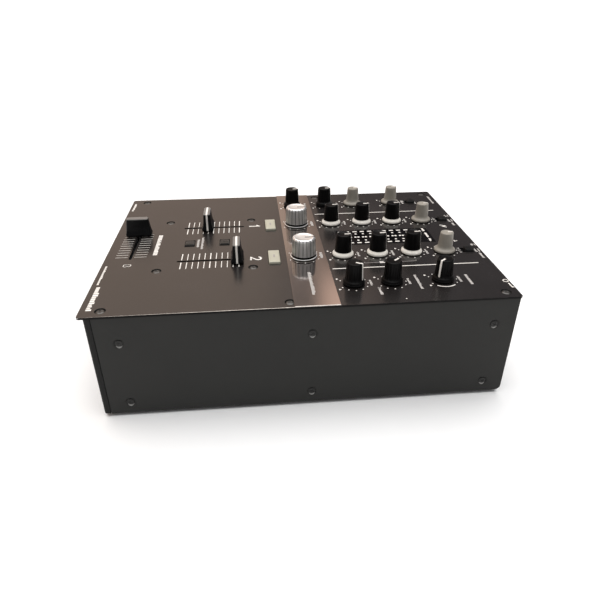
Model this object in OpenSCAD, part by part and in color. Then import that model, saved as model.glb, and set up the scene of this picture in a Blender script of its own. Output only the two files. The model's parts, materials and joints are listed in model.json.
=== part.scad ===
// Two-channel DJ mixer: a sheet-steel case under a control deck with knobs, faders,
// cue buttons, selector switches and a level meter. Millimetres.
// X runs to the user's right, Y to the rear and Z up. The origin is under the middle.

/* [Body] */
// Width of the control deck
deck_w = 230; // [226:1:250]
// Depth of the control deck
deck_d = 312; // [310:1:330]
// Height from the case's underside to the deck's top face
body_h = 85.8; // [84:0.2:100]
// Thickness of the deck sheet
deck_t = 1.6; // [1.2:0.1:1.8]
// Corner radius of the deck sheet
deck_corner_r = 2; // [1:0.5:4]
// Thickness of the outer panels
panel_t = 1.5; // [1.2:0.1:1.8]
// Thickness of the inner tray's sheet
tray_t = 1.2; // [0.8:0.1:1.4]
// Overhang of the deck in front of the front panel
front_lip = 3.5; // [2:0.5:5]
// Overhang of the deck past the side panels and behind them
side_lip = 1; // [0.5:0.1:2]
// Set-back of the rear panel's face from the deck's rear edge
rear_inset = 2; // [1:0.5:3]
// Depth of the front panel's returns on the sides
return_d = 5; // [3:0.5:6]
// Radius of the front panel's upright edges
front_edge_r = 2.5; // [2:0.1:3]
// Radius of the side panels' lower rear corners
side_corner_r = 4; // [2:0.5:8]
// Width of the tray's flanges under the deck
flange_w = 11; // [10:0.5:13]

/* [Deck layout] */
// Distance of the two channel columns from the middle
channel_x = 34.5; // [34:0.5:36]
// Distance of the two outer columns from the middle
outer_x = 84.5; // [83:0.5:86]
// Row of the filter knobs
filter_y = 5.8; // [5:0.1:7]
// Row of the low knobs
low_y = 38.3; // [37:0.1:40]
// Row of the mid knobs
mid_y = 67.3; // [66:0.1:69]
// Row of the high knobs
high_y = 96.2; // [95:0.1:98]
// Row of the trim knobs
trim_y = 124.5; // [123:0.1:126]
// Row of the rear knobs in the outer columns
outer_rear_y = 106.5; // [104:0.1:108]
// Row of the channel selectors
selector_y = 144.2; // [142:0.1:145]
// Row of the microphone selector
mic_selector_y = 127; // [125:0.5:130]
// Front edge of the mirror strip
strip_front_y = -8.5; // [-10:0.5:-8]
// Rear edge of the mirror strip
strip_rear_y = 24; // [23:0.5:25]
// Thickness of the mirror strip
strip_t = 0.5; // [0.3:0.1:0.8]

/* [Knobs] */
// Gap between a knob and the surface under it
knob_gap = 0.7; // [0.5:0.1:1]
// Height of the equaliser knobs over the deck
eq_top = 18.7; // [17:0.1:19]
// Radius of the equaliser knobs' ring
eq_ring_r = 8.7; // [8:0.1:9]
// Height of the flared skirts under the knobs
skirt_h = 3.6; // [3.2:0.1:4]
// Height of the outer columns' black knobs
black_top = 17.9; // [17:0.1:18.5]
// Height of the grey knobs
grey_top = 17; // [16:0.1:18]
// Height of the filter knobs
filter_top = 17.6; // [17:0.1:18.5]
// Radius of the filter knobs' base ring
filter_ring_r = 11; // [10.5:0.1:11.5]
// Radius of the pot shafts
shaft_r = 3; // [2.9:0.05:3.1]
// Running clearance of a shaft in its bush
shaft_gap = 0.05; // [0.02:0.01:0.1]
// Height of the raised pointer line on a knob
pointer_h = 0.3; // [0.2:0.1:0.5]
// Width of the pointer line
pointer_w = 1; // [0.8:0.1:1.4]

/* [Faders] */
// Travel of every fader
fader_travel = 45; // [40:1:48]
// Width of the slots in the deck
slot_w = 2.4; // [2.2:0.1:3]
// Middle of the channel faders' slots
channel_slot_y = -70.1; // [-72:0.1:-68]
// Place of the channel 1 fader in its travel
channel_1_at = 0.38; // [0:0.01:1]
// Place of the channel 2 fader in its travel
channel_2_at = 0.98; // [0:0.01:1]
// Middle of the crossfader's slot
cross_slot_y = -135.6; // [-137:0.1:-134]
// Length of a fader cap at its foot
cap_l = 22; // [20:0.5:24]
// Length of a fader cap at its top
cap_top_l = 18.4; // [16:0.2:20]
// Width of a fader cap at its foot
cap_w = 10.2; // [8:0.1:11]
// Width of a fader cap at its top
cap_top_w = 5.8; // [4:0.1:7]
// Height of a fader cap's top over the deck
cap_top = 16.4; // [15:0.1:17.5]
// Gap between a fader cap and the deck
cap_gap = 1; // [0.6:0.1:1.5]
// Radius of a fader's rails
rail_r = 1.2; // [1:0.1:1.4]

/* [Buttons and switches] */
// Row of the cue buttons
cue_y = -18.6; // [-20:0.1:-17]
// Length of a cue button
cue_l = 22.4; // [20:0.1:24]
// Width of a cue button
cue_w = 9.2; // [8:0.1:10]
// Height of a cue button over the deck
cue_h = 1.7; // [1.4:0.1:2.5]
// Travel of a cue button
cue_travel = 1.2; // [0.8:0.1:1.3]
// Length of the slide switches' windows
window_l = 14; // [13:0.5:15]
// Width of the slide switches' windows
window_w = 9.2; // [9:0.1:10]
// Row of the front slide switch between the faders
front_slide_y = -89.4; // [-91:0.1:-88]
// Row of the rear slide switch between the faders
rear_slide_y = -59.7; // [-61:0.1:-58]
// Travel of a slide switch
slide_travel = 4.4; // [3:0.1:4.8]
// Length of a slide switch's cap along its travel
slide_cap_l = 7.6; // [7:0.1:7.8]
// Length of the selectors' windows
selector_window_l = 11.2; // [11:0.1:12]
// Travel of a selector
selector_travel = 2.4; // [1.5:0.1:2.6]
// Length of a selector's cap along its travel
selector_cap_l = 7; // [6:0.1:7]

/* [Level meter] */
// Width of the meter window
meter_w = 30.5; // [30:0.5:33]
// Front edge of the meter window
meter_front_y = 39.5; // [39:0.5:40]
// Rear edge of the meter window
meter_rear_y = 123.5; // [122:0.5:124]
// Height of the rim under the meter window
meter_rim_h = 0.8; // [0.6:0.1:1.2]
// Number of lamps in each bar
lamp_count = 10; // [8:1:11]
// Distance from lamp to lamp
lamp_pitch = 6.6; // [5:0.1:6.7]

/* [Screws and feet] */
// Head radius of the deck screws
deck_head_r = 3.1; // [2.8:0.1:3.4]
// Head radius of the side screws
side_head_r = 2.8; // [2.4:0.1:3]
// Radius of the dimples round the side screws
dimple_r = 4.3; // [4:0.1:5]
// Radius of the screw shanks
shank_r = 1.5; // [1.4:0.05:1.6]
// Height of the rubber feet
foot_h = 3; // [2:0.5:6]
// Radius of the rubber feet
foot_r = 8; // [7:0.5:10]

/* [Sockets] */
// Reach of the phono barrels behind the deck's edge
rca_reach = 8; // [6:0.5:10]
// Radius of a phono barrel
rca_r = 4.15; // [4:0.05:4.2]
// Distance between neighbouring phono sockets
rca_pitch = 15; // [14:0.5:16]
// Radius of the quarter-inch jacks' bores
jack_r = 3.2; // [3.15:0.01:3.25]
// Depth of the quarter-inch jacks' bores
jack_depth = 20; // [18:1:22]

/* [Hidden] */
$fn = 64;

// Small amount by which a cutting shape passes the face that it cuts
eps = 0.01;
// Clearance between parts that move past each other
gap = 0.4;
// Clearance of a cap on the shaft or lever that it is pushed onto
push_gap = 0.02;

// The deck's frame: its origin is the middle of the deck's top face
deck_y = -rca_reach / 2;
deck_z = foot_h + body_h;
deck_front = -deck_d / 2;
deck_rear = deck_d / 2;
side_x = deck_w / 2 - side_lip;
inner_x = side_x - panel_t;
front_y = deck_front + front_lip;
rear_y = deck_rear - rear_inset;
side_rear_y = deck_rear - side_lip;
under_z = -body_h;
floor_z = under_z + tray_t;
tray_front = front_y + panel_t;
tray_rear = rear_y - panel_t;

// Pots hang from the deck and stand on the control board
pot_w = 11;
pot_d = 12;
pot_h = 8.4;
bush_r = 3.5;
bush_top = 2.1;
nut_r = 5.4;
nut_h = 1.6;
cavity_r = 6;
cavity_top = 3.6;
shaft_foot = -8;
shaft_top = 13;
board_t = 1.6;
control_board_top = -deck_t - pot_h;
OUTER_BLACK = [[outer_x, low_y], [outer_x, mid_y], [outer_x, outer_rear_y]];
STRIP_POTS = [[-outer_x, filter_y], [-channel_x, filter_y], [channel_x, filter_y]];
DECK_POTS = concat(OUTER_BLACK,
    [for (y = [low_y, mid_y, outer_rear_y]) [-outer_x, y]],
    [for (x = [-channel_x, channel_x], y = [low_y, mid_y, high_y, trim_y]) [x, y]]);
POTS = concat(STRIP_POTS, DECK_POTS);

// Faders: a closed frame with two rails, and a carriage that slides along them
frame_w = 13;
frame_l = 80;
frame_h = 12;
frame_t = 1;
frame_top = -deck_t;
rail_spread = 3.4;
rail_z = frame_top - 6;
carriage_w = 10;
carriage_l = 9;
carriage_h = 5;
lever_t = 1.2;
lever_l = 4;
lever_top = 12;
fader_board_top = frame_top - frame_h;
slot_l = fader_travel + lever_l + 5.6;
CROSS_AT = [-fader_travel / 2, cross_slot_y];
channel_foot_y = channel_slot_y - fader_travel / 2;

// Slide switches: three selectors along Y and two switches along X
switch_h = 8;
switch_wall = 1.5;
slide_cap_w = 7.6;
slide_cap_top = 1.2;
selector_cap_top = 2.6;
slide_stem_w = 3;
slide_slot_w = slide_stem_w + 2 * gap;
SELECTORS = [[-outer_x, mic_selector_y], [-channel_x, selector_y], [channel_x, selector_y]];
SLIDES = [[0, front_slide_y], [0, rear_slide_y]];

// Cue buttons
cue_flange = 1;
cue_flange_t = 1.2;
cue_stem_r = 2;
cue_stem_foot = -6.4;
CUES = [[-channel_x, cue_y], [channel_x, cue_y]];

// Meter: two wide outer bars, two narrow bars and a middle row of paired lamps
lamp_start = meter_front_y + 4.2;
lamp_w = 2;
lamp_l = 3.8;
lamp_small = 1.8;
lamp_pair_y = 1.45;
lamp_row_x = 6.9;
lamp_side_x = 12;
meter_ledge = 1;
meter_rim = 1.4;
meter_stand = 0.25;
lamp_h = pot_h - gap / 4;

// Screws
screw_l = 7;
dimple_h = 1.1;
side_head_h = 0.9;
dish_r = 3.9;
dish_h = 0.9;
deck_head_h = 0.8;
corner_x = 107;
corner_front_y = -141.5;
corner_rear_y = 146.5;
CORNER_SCREWS = [[-corner_x, corner_front_y], [corner_x, corner_front_y],
    [-corner_x, corner_rear_y], [corner_x, corner_rear_y], [corner_x, -11.2], [-corner_x, 31.5]];
fader_screw_x = 49.8;
FADER_SCREWS = [for (x = [-fader_screw_x, fader_screw_x], y = [-111.4, -36]) [x, y]];
DECK_SCREWS = concat(CORNER_SCREWS, FADER_SCREWS);
SIDE_SCREWS = [for (y = [-131.7, 4.3, 139.2], z = [-23.2, -75.9]) [y, z]];
foot_x = 92;
foot_front_y = -128;
foot_rear_y = 130;
FEET = [for (x = [-foot_x, foot_x], y = [foot_front_y, foot_rear_y]) [x, y]];
foot_screw_l = 6;

// Rear panel
rca_base_r = 5.5;
rca_base_t = 1;
rca_pin_r = 1.6;
rca_pin_depth = 9;
rca_low_z = -58;
rca_high_z = -34;
RCA_COLUMNS = [for (i = [0:4]) -6 + i * rca_pitch];
RCA = [for (x = RCA_COLUMNS, z = [rca_low_z, rca_high_z]) [x, z]];
rca_block_d = 12;
jack_flange_r = 6;
jack_flange_t = 2;
jack_block_w = 15;
jack_block_d = 26;
OUTPUT_JACKS = [for (x = [72, 94]) [x, -40]];
HEADPHONE_JACKS = [[-88, -46], [-60, -46]];
post_x = 68;
inlet_x = -86;
inlet_z = -46;
inlet_w = 28;
inlet_h = 20;
inlet_depth = 19;
inlet_wall = 2;
inlet_flange = 3;
inlet_flange_t = 1.6;
rocker_x = -52;
rocker_w = 11;
rocker_h = 17;
rocker_frame = 2;
rocker_d = 9;
rocker_reach = 3.6;
rocker_tilt = 8;
rocker_pivot = -3.5;
rocker_axle_r = 1.5;
rocker_axle_l = rocker_w + 2;

// Boards inside
main_board_top = -66;
main_board_front = -28;
main_board_rear = 124;
main_board_x = 96;
control_board_x = 98;
control_board_front = -3;
control_board_rear = 148;
fader_board_x = 58;
fader_board_front = -146;
fader_board_rear = -10;
power_board_z = -74;
power_board = [84, 74];
power_board_at = [10, -118];
transformer_at = [-84, -122];
core = [46, 62, 50];
coil = [66, 40, 38];
standoff_r = 3;
MAIN_POSTS = [for (x = [-90, 90], y = [-22, 118]) [x, y]];
POWER_POSTS = [for (x = [15, 89], y = [-113, -49]) [x, y]];
CONTROL_POSTS = [for (x = [-60, 60], y = [4, 141]) [x, y]];
ribbon_w = 32;
ribbon_t = 1;
ribbon_bow = 3;

// --- Helpers ---

// Puts children in the deck's frame
module at_deck() translate([0, deck_y, deck_z]) children();

// Repeats children at each [x, y] of a list
module each_at(places) for (p = places) translate([p.x, p.y, 0]) children();

// Repeats children at each [x, z] of a list on an upright panel, their +Z towards the rear
module each_on_rear(places)
    for (p = places) translate([p.x, rear_y, p.y]) rotate([-90, 0, 0]) children();

// A block centred in X and Y that stands on z
module block(size, z = 0)
    translate([-size.x / 2, -size.y / 2, z]) cube(size);

// A block that runs from low to high corner
module span_block(low, high) translate(low) cube(high - low);

// An oblong hole along Y, through the deck
module deck_slot(length, width)
    for (side = [-1, 1]) {
        translate([0, side * (length - width) / 2, -deck_t - eps])
            cylinder(h = deck_t + 2 * eps, d = width);
        block([width, length - width, deck_t + 2 * eps], -deck_t - eps);
    }

// A rectangle with rounded corners
module rounded_rectangle(w, d, r) {
    square([w - 2 * r, d], center = true);
    square([w, d - 2 * r], center = true);
    for (x = [-1, 1], y = [-1, 1]) translate([x * (w / 2 - r), y * (d / 2 - r)]) circle(r);
}

// --- Case ---

module top_panel() color([0.16, 0.14, 0.14]) at_deck() difference() {
    translate([0, 0, -deck_t]) linear_extrude(deck_t)
        rounded_rectangle(deck_w, deck_d, deck_corner_r);
    each_at(POTS) translate([0, 0, -deck_t - eps])
        cylinder(h = deck_t + 2 * eps, r = bush_r + push_gap);
    for (x = [-channel_x, channel_x]) translate([x, channel_slot_y]) deck_slot(slot_l, slot_w);
    translate([0, cross_slot_y]) rotate(90) deck_slot(slot_l, slot_w);
    each_at(CUES) block([cue_l + 2 * gap, cue_w + 2 * gap, 2 * deck_t], -1.5 * deck_t);
    each_at(SELECTORS) block([window_w, selector_window_l, 2 * deck_t], -1.5 * deck_t);
    each_at(SLIDES) block([window_l, window_w, 2 * deck_t], -1.5 * deck_t);
    translate([0, (meter_front_y + meter_rear_y) / 2])
        block([meter_w, meter_rear_y - meter_front_y, 2 * deck_t], -1.5 * deck_t);
    each_at(DECK_SCREWS) {
        translate([0, 0, -dish_h]) cylinder(h = dish_h + eps, r1 = deck_head_r, r2 = dish_r);
        translate([0, 0, -deck_t - eps]) cylinder(h = deck_t, r = shank_r);
    }
}

module mirror_strip() color([0.75, 0.72, 0.7]) at_deck() difference() {
    span_block([-deck_w / 2, strip_front_y, 0], [deck_w / 2, strip_rear_y, strip_t]);
    each_at(STRIP_POTS) translate([0, 0, -eps])
        cylinder(h = strip_t + 2 * eps, r = bush_r + push_gap);
}

// Floor, two upright walls and the flanges that the deck is screwed to
module chassis_tray() color([0.3, 0.3, 0.31]) at_deck() difference() {
    union() {
        span_block([-inner_x, tray_front, under_z], [inner_x, tray_rear, floor_z]);
        for (side = [-1, 1]) mirror([side < 0 ? 1 : 0, 0, 0]) {
            span_block([inner_x - tray_t, tray_front, floor_z - eps],
                [inner_x, tray_rear, -deck_t]);
            span_block([inner_x - flange_w, tray_front, -deck_t - tray_t],
                [inner_x - tray_t + eps, tray_rear, -deck_t]);
        }
    }
    each_at(CORNER_SCREWS) translate([0, 0, -deck_t - tray_t - eps])
        cylinder(h = tray_t + 2 * eps, r = shank_r);
    for (side = [-1, 1], p = SIDE_SCREWS) translate([side * inner_x, p.x, p.y])
        rotate([0, side * 90, 0]) translate([0, 0, -tray_t - eps])
            cylinder(h = tray_t + 2 * eps, r = shank_r);
    each_at(FEET) translate([0, 0, under_z - eps]) cylinder(h = tray_t + 2 * eps, r = shank_r);
}

// Plate with rounded upright edges and short returns on both sides
module front_panel() color([0.17, 0.17, 0.17]) at_deck() difference() {
    translate([0, 0, under_z]) linear_extrude(body_h - deck_t) difference() {
        translate([0, front_y + return_d])
            rounded_rectangle(2 * side_x, 2 * return_d, front_edge_r);
        translate([-side_x - eps, front_y + return_d]) square([2 * side_x + 2 * eps, deck_d]);
        translate([-inner_x, front_y + panel_t]) square([2 * inner_x, deck_d]);
    }
    for (p = HEADPHONE_JACKS) translate([p.x, front_y - eps, p.y])
        rotate([-90, 0, 0]) cylinder(h = panel_t + 2 * eps, r = jack_flange_r + push_gap);
}

module rear_panel() color([0.17, 0.17, 0.17]) at_deck() difference() {
    span_block([-inner_x, tray_rear, under_z], [inner_x, rear_y, -deck_t]);
    each_on_rear(RCA) translate([0, 0, -panel_t - eps])
        cylinder(h = panel_t + 2 * eps, r = rca_r + push_gap);
    each_on_rear(OUTPUT_JACKS) translate([0, 0, -panel_t - eps])
        cylinder(h = panel_t + 2 * eps, r = jack_flange_r + push_gap);
    each_on_rear([[post_x, rca_low_z]]) translate([0, 0, -panel_t - eps])
        cylinder(h = panel_t + 2 * eps, r = shank_r);
    translate([inlet_x, rear_y, inlet_z]) cube([inlet_w, 4 * panel_t, inlet_h], center = true);
    translate([rocker_x, rear_y, inlet_z])
        cube([rocker_w + 2 * rocker_frame, 4 * panel_t, rocker_h + 2 * rocker_frame], center = true);
}

// Outline of a side panel in Y and Z, with a round lower rear corner
module side_outline() {
    start = front_y + return_d + gap;
    l = side_rear_y - start;
    h = body_h - deck_t;
    r = side_corner_r;
    translate([start, under_z + r]) square([l, h - r]);
    translate([start, under_z]) square([l - r, h]);
    translate([side_rear_y - r, under_z + r]) circle(r);
}

// Flat plate with countersunk holes, on the right; the left one is its mirror image
module side_panel() at_deck() difference() {
    translate([inner_x, 0, 0]) rotate([90, 0, 90]) linear_extrude(panel_t) side_outline();
    for (p = SIDE_SCREWS) translate([side_x, p.x, p.y]) rotate([0, 90, 0]) {
        translate([0, 0, -panel_t - eps]) cylinder(h = panel_t, r = shank_r);
        translate([0, 0, -dimple_h]) cylinder(h = dimple_h + eps, r1 = side_head_r, r2 = dimple_r);
    }
}

module side_panel_right() color([0.18, 0.18, 0.17]) side_panel();
module side_panel_left() color([0.18, 0.18, 0.17]) mirror([1, 0, 0]) side_panel();

// --- Level meter ---

// Smoked window in the deck's opening, with a rim that holds it from below
module meter_window() color([0.05, 0.05, 0.06]) at_deck()
    translate([0, (meter_front_y + meter_rear_y) / 2]) {
        l = meter_rear_y - meter_front_y;
        block([meter_w, l, deck_t + meter_stand], -deck_t);
        difference() {
            block([meter_w + 2 * meter_ledge, l + 2 * meter_ledge, meter_rim_h],
                -deck_t - meter_rim_h);
            block([meter_w - 2 * meter_rim, l - 2 * meter_rim, 2 * meter_rim_h],
                -deck_t - 1.5 * meter_rim_h);
        }
    }

// Light guides that stand on the control board and end under the window
module meter_lamps() color([0.9, 0.88, 0.8]) at_deck()
    for (i = [0:lamp_count - 1]) translate([0, lamp_start + i * lamp_pitch]) {
        for (x = [-lamp_side_x, lamp_side_x]) translate([x, 0])
            block([lamp_w, lamp_l, lamp_h], control_board_top);
        for (x = [-lamp_row_x, lamp_row_x]) translate([x, 0])
            block([lamp_small, lamp_small, lamp_h], control_board_top);
        for (y = [-lamp_pair_y, lamp_pair_y]) translate([0, y])
            block([lamp_small, lamp_small, lamp_h], control_board_top);
    }

// --- Pots and knobs ---

module rotary_pots() color([0.2, 0.35, 0.25]) at_deck() each_at(POTS) difference() {
    union() {
        block([pot_w, pot_d, pot_h], control_board_top);
        translate([0, 0, -deck_t - eps]) cylinder(h = deck_t + bush_top, r = bush_r);
    }
    translate([0, 0, shaft_foot - gap]) cylinder(h = -shaft_foot + bush_top + 2 * gap,
        r = shaft_r + shaft_gap);
}

module nut(z) difference() {
    translate([0, 0, z]) cylinder(h = nut_h, r = nut_r, $fn = 6);
    translate([0, 0, z - eps]) cylinder(h = nut_h + 2 * eps, r = bush_r);
}

module pot_nuts() color("silver") at_deck() {
    each_at(DECK_POTS) nut(0);
    each_at(STRIP_POTS) nut(strip_t);
}

// Turned cap with a hollow foot over the nut, its pointer line, and the pot's shaft.
// The cap's outline is a list of [radius, height]; turn is clockwise from the rear.
module knob(place, colour, outline, top, top_r, turn = 0) at_deck()
    translate([place.x, place.y, 0]) {
        color(colour) difference() {
            rotate_extrude() polygon(outline);
            translate([0, 0, -eps]) cylinder(h = cavity_top, r = cavity_r);
            cylinder(h = shaft_top + push_gap, r = shaft_r + push_gap);
        }
        color("white") rotate(-turn) translate([-pointer_w / 2, 0, top])
            cube([pointer_w, top_r - pointer_w, pointer_h]);
        color("silver") translate([0, 0, shaft_foot])
            cylinder(h = shaft_top - shaft_foot, r = shaft_r);
    }

// Outline of a cap on a flared skirt, as [radius, height] points
function skirted(base, skirt_r, foot_r, top_r, top, edge = 0.6) = [[0, base], [skirt_r, base],
    [skirt_r, base + skirt_h * 0.3], [skirt_r - 0.4, base + skirt_h * 0.6],
    [(skirt_r + foot_r) / 2 - 0.4, base + skirt_h * 0.9], [foot_r, base + skirt_h],
    [top_r, top - edge], [top_r - edge, top], [0, top]];

// Black cap over a wide white skirt
module eq_knob(x, y) {
    foot_r = 6.9;
    top_r = 5.9;
    knob([x, y], [0.1, 0.1, 0.1], skirted(knob_gap, eq_ring_r, foot_r, top_r, eq_top),
        eq_top, top_r);
}

// Fluted black cap on a black skirt
module black_knob(x, y, lift = 0, turn = 0) {
    skirt_r = 8.3;
    foot_r = 6.8;
    top_r = 6.1;
    knob([x, y], [0.08, 0.08, 0.08],
        skirted(knob_gap + lift, skirt_r, foot_r, top_r, black_top), black_top, top_r, turn);
}

// Slim grey cap that flares into a skirt
module grey_knob(x, y) {
    skirt_r = 8.8;
    foot_r = 6.6;
    top_r = 5.1;
    knob([x, y], [0.43, 0.41, 0.37], skirted(knob_gap, skirt_r, foot_r, top_r, grey_top),
        grey_top, top_r);
}

// Wide metal cap with a dark neck over a thin bright ring
module filter_knob(x, y) {
    body_r = 10;
    neck_r = 9.2;
    top_r = 9.3;
    ring_h = 0.6;
    neck_h = 1.3;
    edge = 0.6;
    base = strip_t + knob_gap;
    knob([x, y], [0.6, 0.6, 0.62], [[0, base], [filter_ring_r, base],
        [filter_ring_r, base + ring_h], [neck_r, base + ring_h], [neck_r, base + ring_h + neck_h],
        [body_r, base + ring_h + neck_h], [top_r, filter_top - edge],
        [top_r - edge, filter_top], [0, filter_top]], filter_top, top_r);
}

module headphone_level_knob() black_knob(-outer_x, filter_y, strip_t);
module headphone_mix_knob() black_knob(-outer_x, low_y);
module mic_tone_knob() grey_knob(-outer_x, mid_y);
module mic_level_knob() grey_knob(-outer_x, outer_rear_y);
module ch1_filter_knob() filter_knob(-channel_x, filter_y);
module ch1_low_knob() eq_knob(-channel_x, low_y);
module ch1_mid_knob() eq_knob(-channel_x, mid_y);
module ch1_high_knob() eq_knob(-channel_x, high_y);
module ch1_trim_knob() grey_knob(-channel_x, trim_y);
module ch2_filter_knob() filter_knob(channel_x, filter_y);
module ch2_low_knob() eq_knob(channel_x, low_y);
module ch2_mid_knob() eq_knob(channel_x, mid_y);
module ch2_high_knob() eq_knob(channel_x, high_y);
module ch2_trim_knob() grey_knob(channel_x, trim_y);
module balance_knob() black_knob(outer_x, low_y, turn = 33);
module booth_level_knob() black_knob(outer_x, mid_y, turn = -37);
module master_level_knob() black_knob(outer_x, outer_rear_y, turn = 138);

// --- Faders ---

// Closed frame with a slot on top and two rails along Y
module fader_unit() {
    color([0.55, 0.55, 0.56]) difference() {
        block([frame_w, frame_l, frame_h], frame_top - frame_h);
        block([frame_w - 2 * frame_t, frame_l - 2 * frame_t, frame_h - 2 * frame_t],
            frame_top - frame_h + frame_t);
        block([slot_w + gap, slot_l, 4 * frame_t], frame_top - 2 * frame_t);
    }
    color("silver") for (side = [-1, 1])
        translate([side * rail_spread, frame_l / 2 - frame_t, rail_z])
            rotate([90, 0, 0]) cylinder(h = frame_l - 2 * frame_t, r = rail_r);
}

module channel_fader_units() at_deck()
    for (x = [-channel_x, channel_x]) translate([x, channel_slot_y]) fader_unit();

module crossfader_unit() at_deck() translate([0, cross_slot_y]) rotate(90) fader_unit();

// Block whose sides lean in, from a foot size to a top size
module tapered_block(foot, top, z0, z1) intersection() {
    rotate([90, 0, 0]) translate([0, 0, -foot.y]) linear_extrude(2 * foot.y)
        polygon([[-foot.x / 2, z0], [foot.x / 2, z0], [top.x / 2, z1], [-top.x / 2, z1]]);
    rotate([90, 0, 90]) translate([0, 0, -foot.x]) linear_extrude(2 * foot.x)
        polygon([[-foot.y / 2, z0], [foot.y / 2, z0], [top.y / 2, z1], [-top.y / 2, z1]]);
}

// Cap, lever and carriage of one fader, travelling along Y
module fader_slider() {
    color([0.07, 0.07, 0.07]) difference() {
        tapered_block([cap_l, cap_w], [cap_top_l, cap_top_w], cap_gap, cap_top);
        block([lever_t + 2 * push_gap, lever_l + 2 * push_gap, lever_top + push_gap], 0);
    }
    color("silver") {
        block([lever_t, lever_l, lever_top - rail_z - carriage_h / 2], rail_z + carriage_h / 2);
        difference() {
            block([carriage_w, carriage_l, carriage_h], rail_z - carriage_h / 2);
            for (side = [-1, 1]) translate([side * rail_spread, carriage_l / 2 + eps, rail_z])
                rotate([90, 0, 0]) cylinder(h = carriage_l + 2 * eps, r = rail_r + shaft_gap);
        }
    }
}

module ch1_fader() at_deck()
    translate([-channel_x, channel_foot_y + channel_1_at * fader_travel]) fader_slider();
module ch2_fader() at_deck()
    translate([channel_x, channel_foot_y + channel_2_at * fader_travel]) fader_slider();
module crossfader() at_deck() translate(CROSS_AT) rotate(90) fader_slider();

// --- Cue buttons ---

// Button in the deck's window, a flange that holds it in, and a stem over its switch
module cue_button(place) color([0.85, 0.84, 0.76]) at_deck() translate([place.x, place.y]) {
    block([cue_l, cue_w, cue_h + deck_t + gap + eps], -deck_t - gap - eps);
    block([cue_l + 4 * cue_flange, cue_w, cue_flange_t], -deck_t - gap - cue_flange_t);
    translate([0, 0, cue_stem_foot])
        cylinder(h = -cue_stem_foot - deck_t - gap - cue_flange_t + eps, r = cue_stem_r);
}

module ch1_cue_button() cue_button(CUES[0]);
module ch2_cue_button() cue_button(CUES[1]);

module cue_switches() color([0.25, 0.25, 0.27]) at_deck() each_at(CUES)
    block([cue_w, cue_w, cue_stem_foot - cue_travel - gap - fader_board_top], fader_board_top);

// --- Slide switches ---

// Open-topped case that fills a deck window of length l, with a slot for the stem, along Y
module slide_case(l, cap_l, travel) difference() {
    union() {
        block([window_w, l, deck_t + eps], -deck_t - eps);
        block([window_w + 2 * switch_wall, l + 2 * switch_wall, switch_h], -deck_t - switch_h);
    }
    block([slide_cap_w + 2 * gap, cap_l + travel + 2 * gap, deck_t + gap], -deck_t);
    block([slide_slot_w, slide_stem_w + travel + 2 * gap, switch_h], -switch_h + gap);
}

module slide_switch_bodies() color([0.06, 0.06, 0.06]) at_deck() {
    each_at(SELECTORS) slide_case(selector_window_l, selector_cap_l, selector_travel);
    each_at(SLIDES) rotate(90) slide_case(window_l, slide_cap_l, slide_travel);
}

// Cap and stem of one slide switch, travelling along Y
module slide_cap(l, top) {
    block([slide_cap_w, l, deck_t + top - gap], -deck_t + gap);
    block([slide_stem_w, slide_stem_w, switch_h / 2], -deck_t + gap + eps - switch_h / 2);
}

module selector(place) color([0.09, 0.09, 0.09]) at_deck()
    translate([place.x, place.y + selector_travel / 2])
        slide_cap(selector_cap_l, selector_cap_top);

module mic_selector() selector(SELECTORS[0]);
module ch1_selector() selector(SELECTORS[1]);
module ch2_selector() selector(SELECTORS[2]);

module deck_slide(place) color([0.12, 0.12, 0.12]) at_deck()
    translate([place.x, place.y]) rotate(90) slide_cap(slide_cap_l, slide_cap_top);

module reverse_switch() deck_slide(SLIDES[0]);
module curve_switch() deck_slide(SLIDES[1]);

// --- Boards and supply ---

module control_board() color([0.1, 0.32, 0.16]) at_deck() difference() {
    span_block([-control_board_x, control_board_front, control_board_top - board_t],
        [control_board_x, control_board_rear, control_board_top]);
    each_at(CONTROL_POSTS) translate([0, 0, control_board_top - board_t - eps])
        cylinder(h = board_t + 2 * eps, r = shank_r);
}

module fader_board() color([0.1, 0.32, 0.16]) at_deck() difference() {
    span_block([-fader_board_x, fader_board_front, fader_board_top - board_t],
        [fader_board_x, fader_board_rear, fader_board_top]);
    each_at(FADER_SCREWS) translate([0, 0, fader_board_top - board_t - eps])
        cylinder(h = board_t + 2 * eps, r = shank_r);
}

module main_board() color([0.1, 0.32, 0.16]) at_deck() difference() {
    span_block([-main_board_x, main_board_front, main_board_top - board_t],
        [main_board_x, main_board_rear, main_board_top]);
    each_at(MAIN_POSTS) translate([0, 0, main_board_top - board_t - eps])
        cylinder(h = board_t + 2 * eps, r = shank_r);
}

// Supply board with its two reservoir capacitors and a heat sink
module power_board() color([0.5, 0.42, 0.2]) at_deck() {
    cap_r = 8;
    cap_h = 26;
    sink = [30, 8, 24];
    span_block([power_board_at.x, power_board_at.y, power_board_z],
        [power_board_at.x + power_board.x, power_board_at.y + power_board.y,
            power_board_z + board_t]);
    for (i = [1, 2]) translate([power_board_at.x + i * power_board.x / 3,
        power_board_at.y + power_board.y / 3, power_board_z + board_t - eps])
        cylinder(h = cap_h, r = cap_r);
    translate([power_board_at.x + power_board.x / 2, power_board_at.y + power_board.y * 0.75])
        block(sink, power_board_z + board_t - eps);
}

module transformer() at_deck() translate([transformer_at.x, transformer_at.y]) {
    color([0.35, 0.35, 0.36]) translate([coil.x / 2, core.y / 2]) difference() {
        block(core, floor_z);
        block([core.x + 2 * eps, coil.y, coil.z], floor_z + (core.z - coil.z) / 2);
    }
    color([0.75, 0.5, 0.2]) translate([coil.x / 2, core.y / 2])
        block(coil, floor_z + (core.z - coil.z) / 2);
}

module post(z0, z1) translate([0, 0, z0]) cylinder(h = z1 - z0, r = standoff_r);

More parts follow.
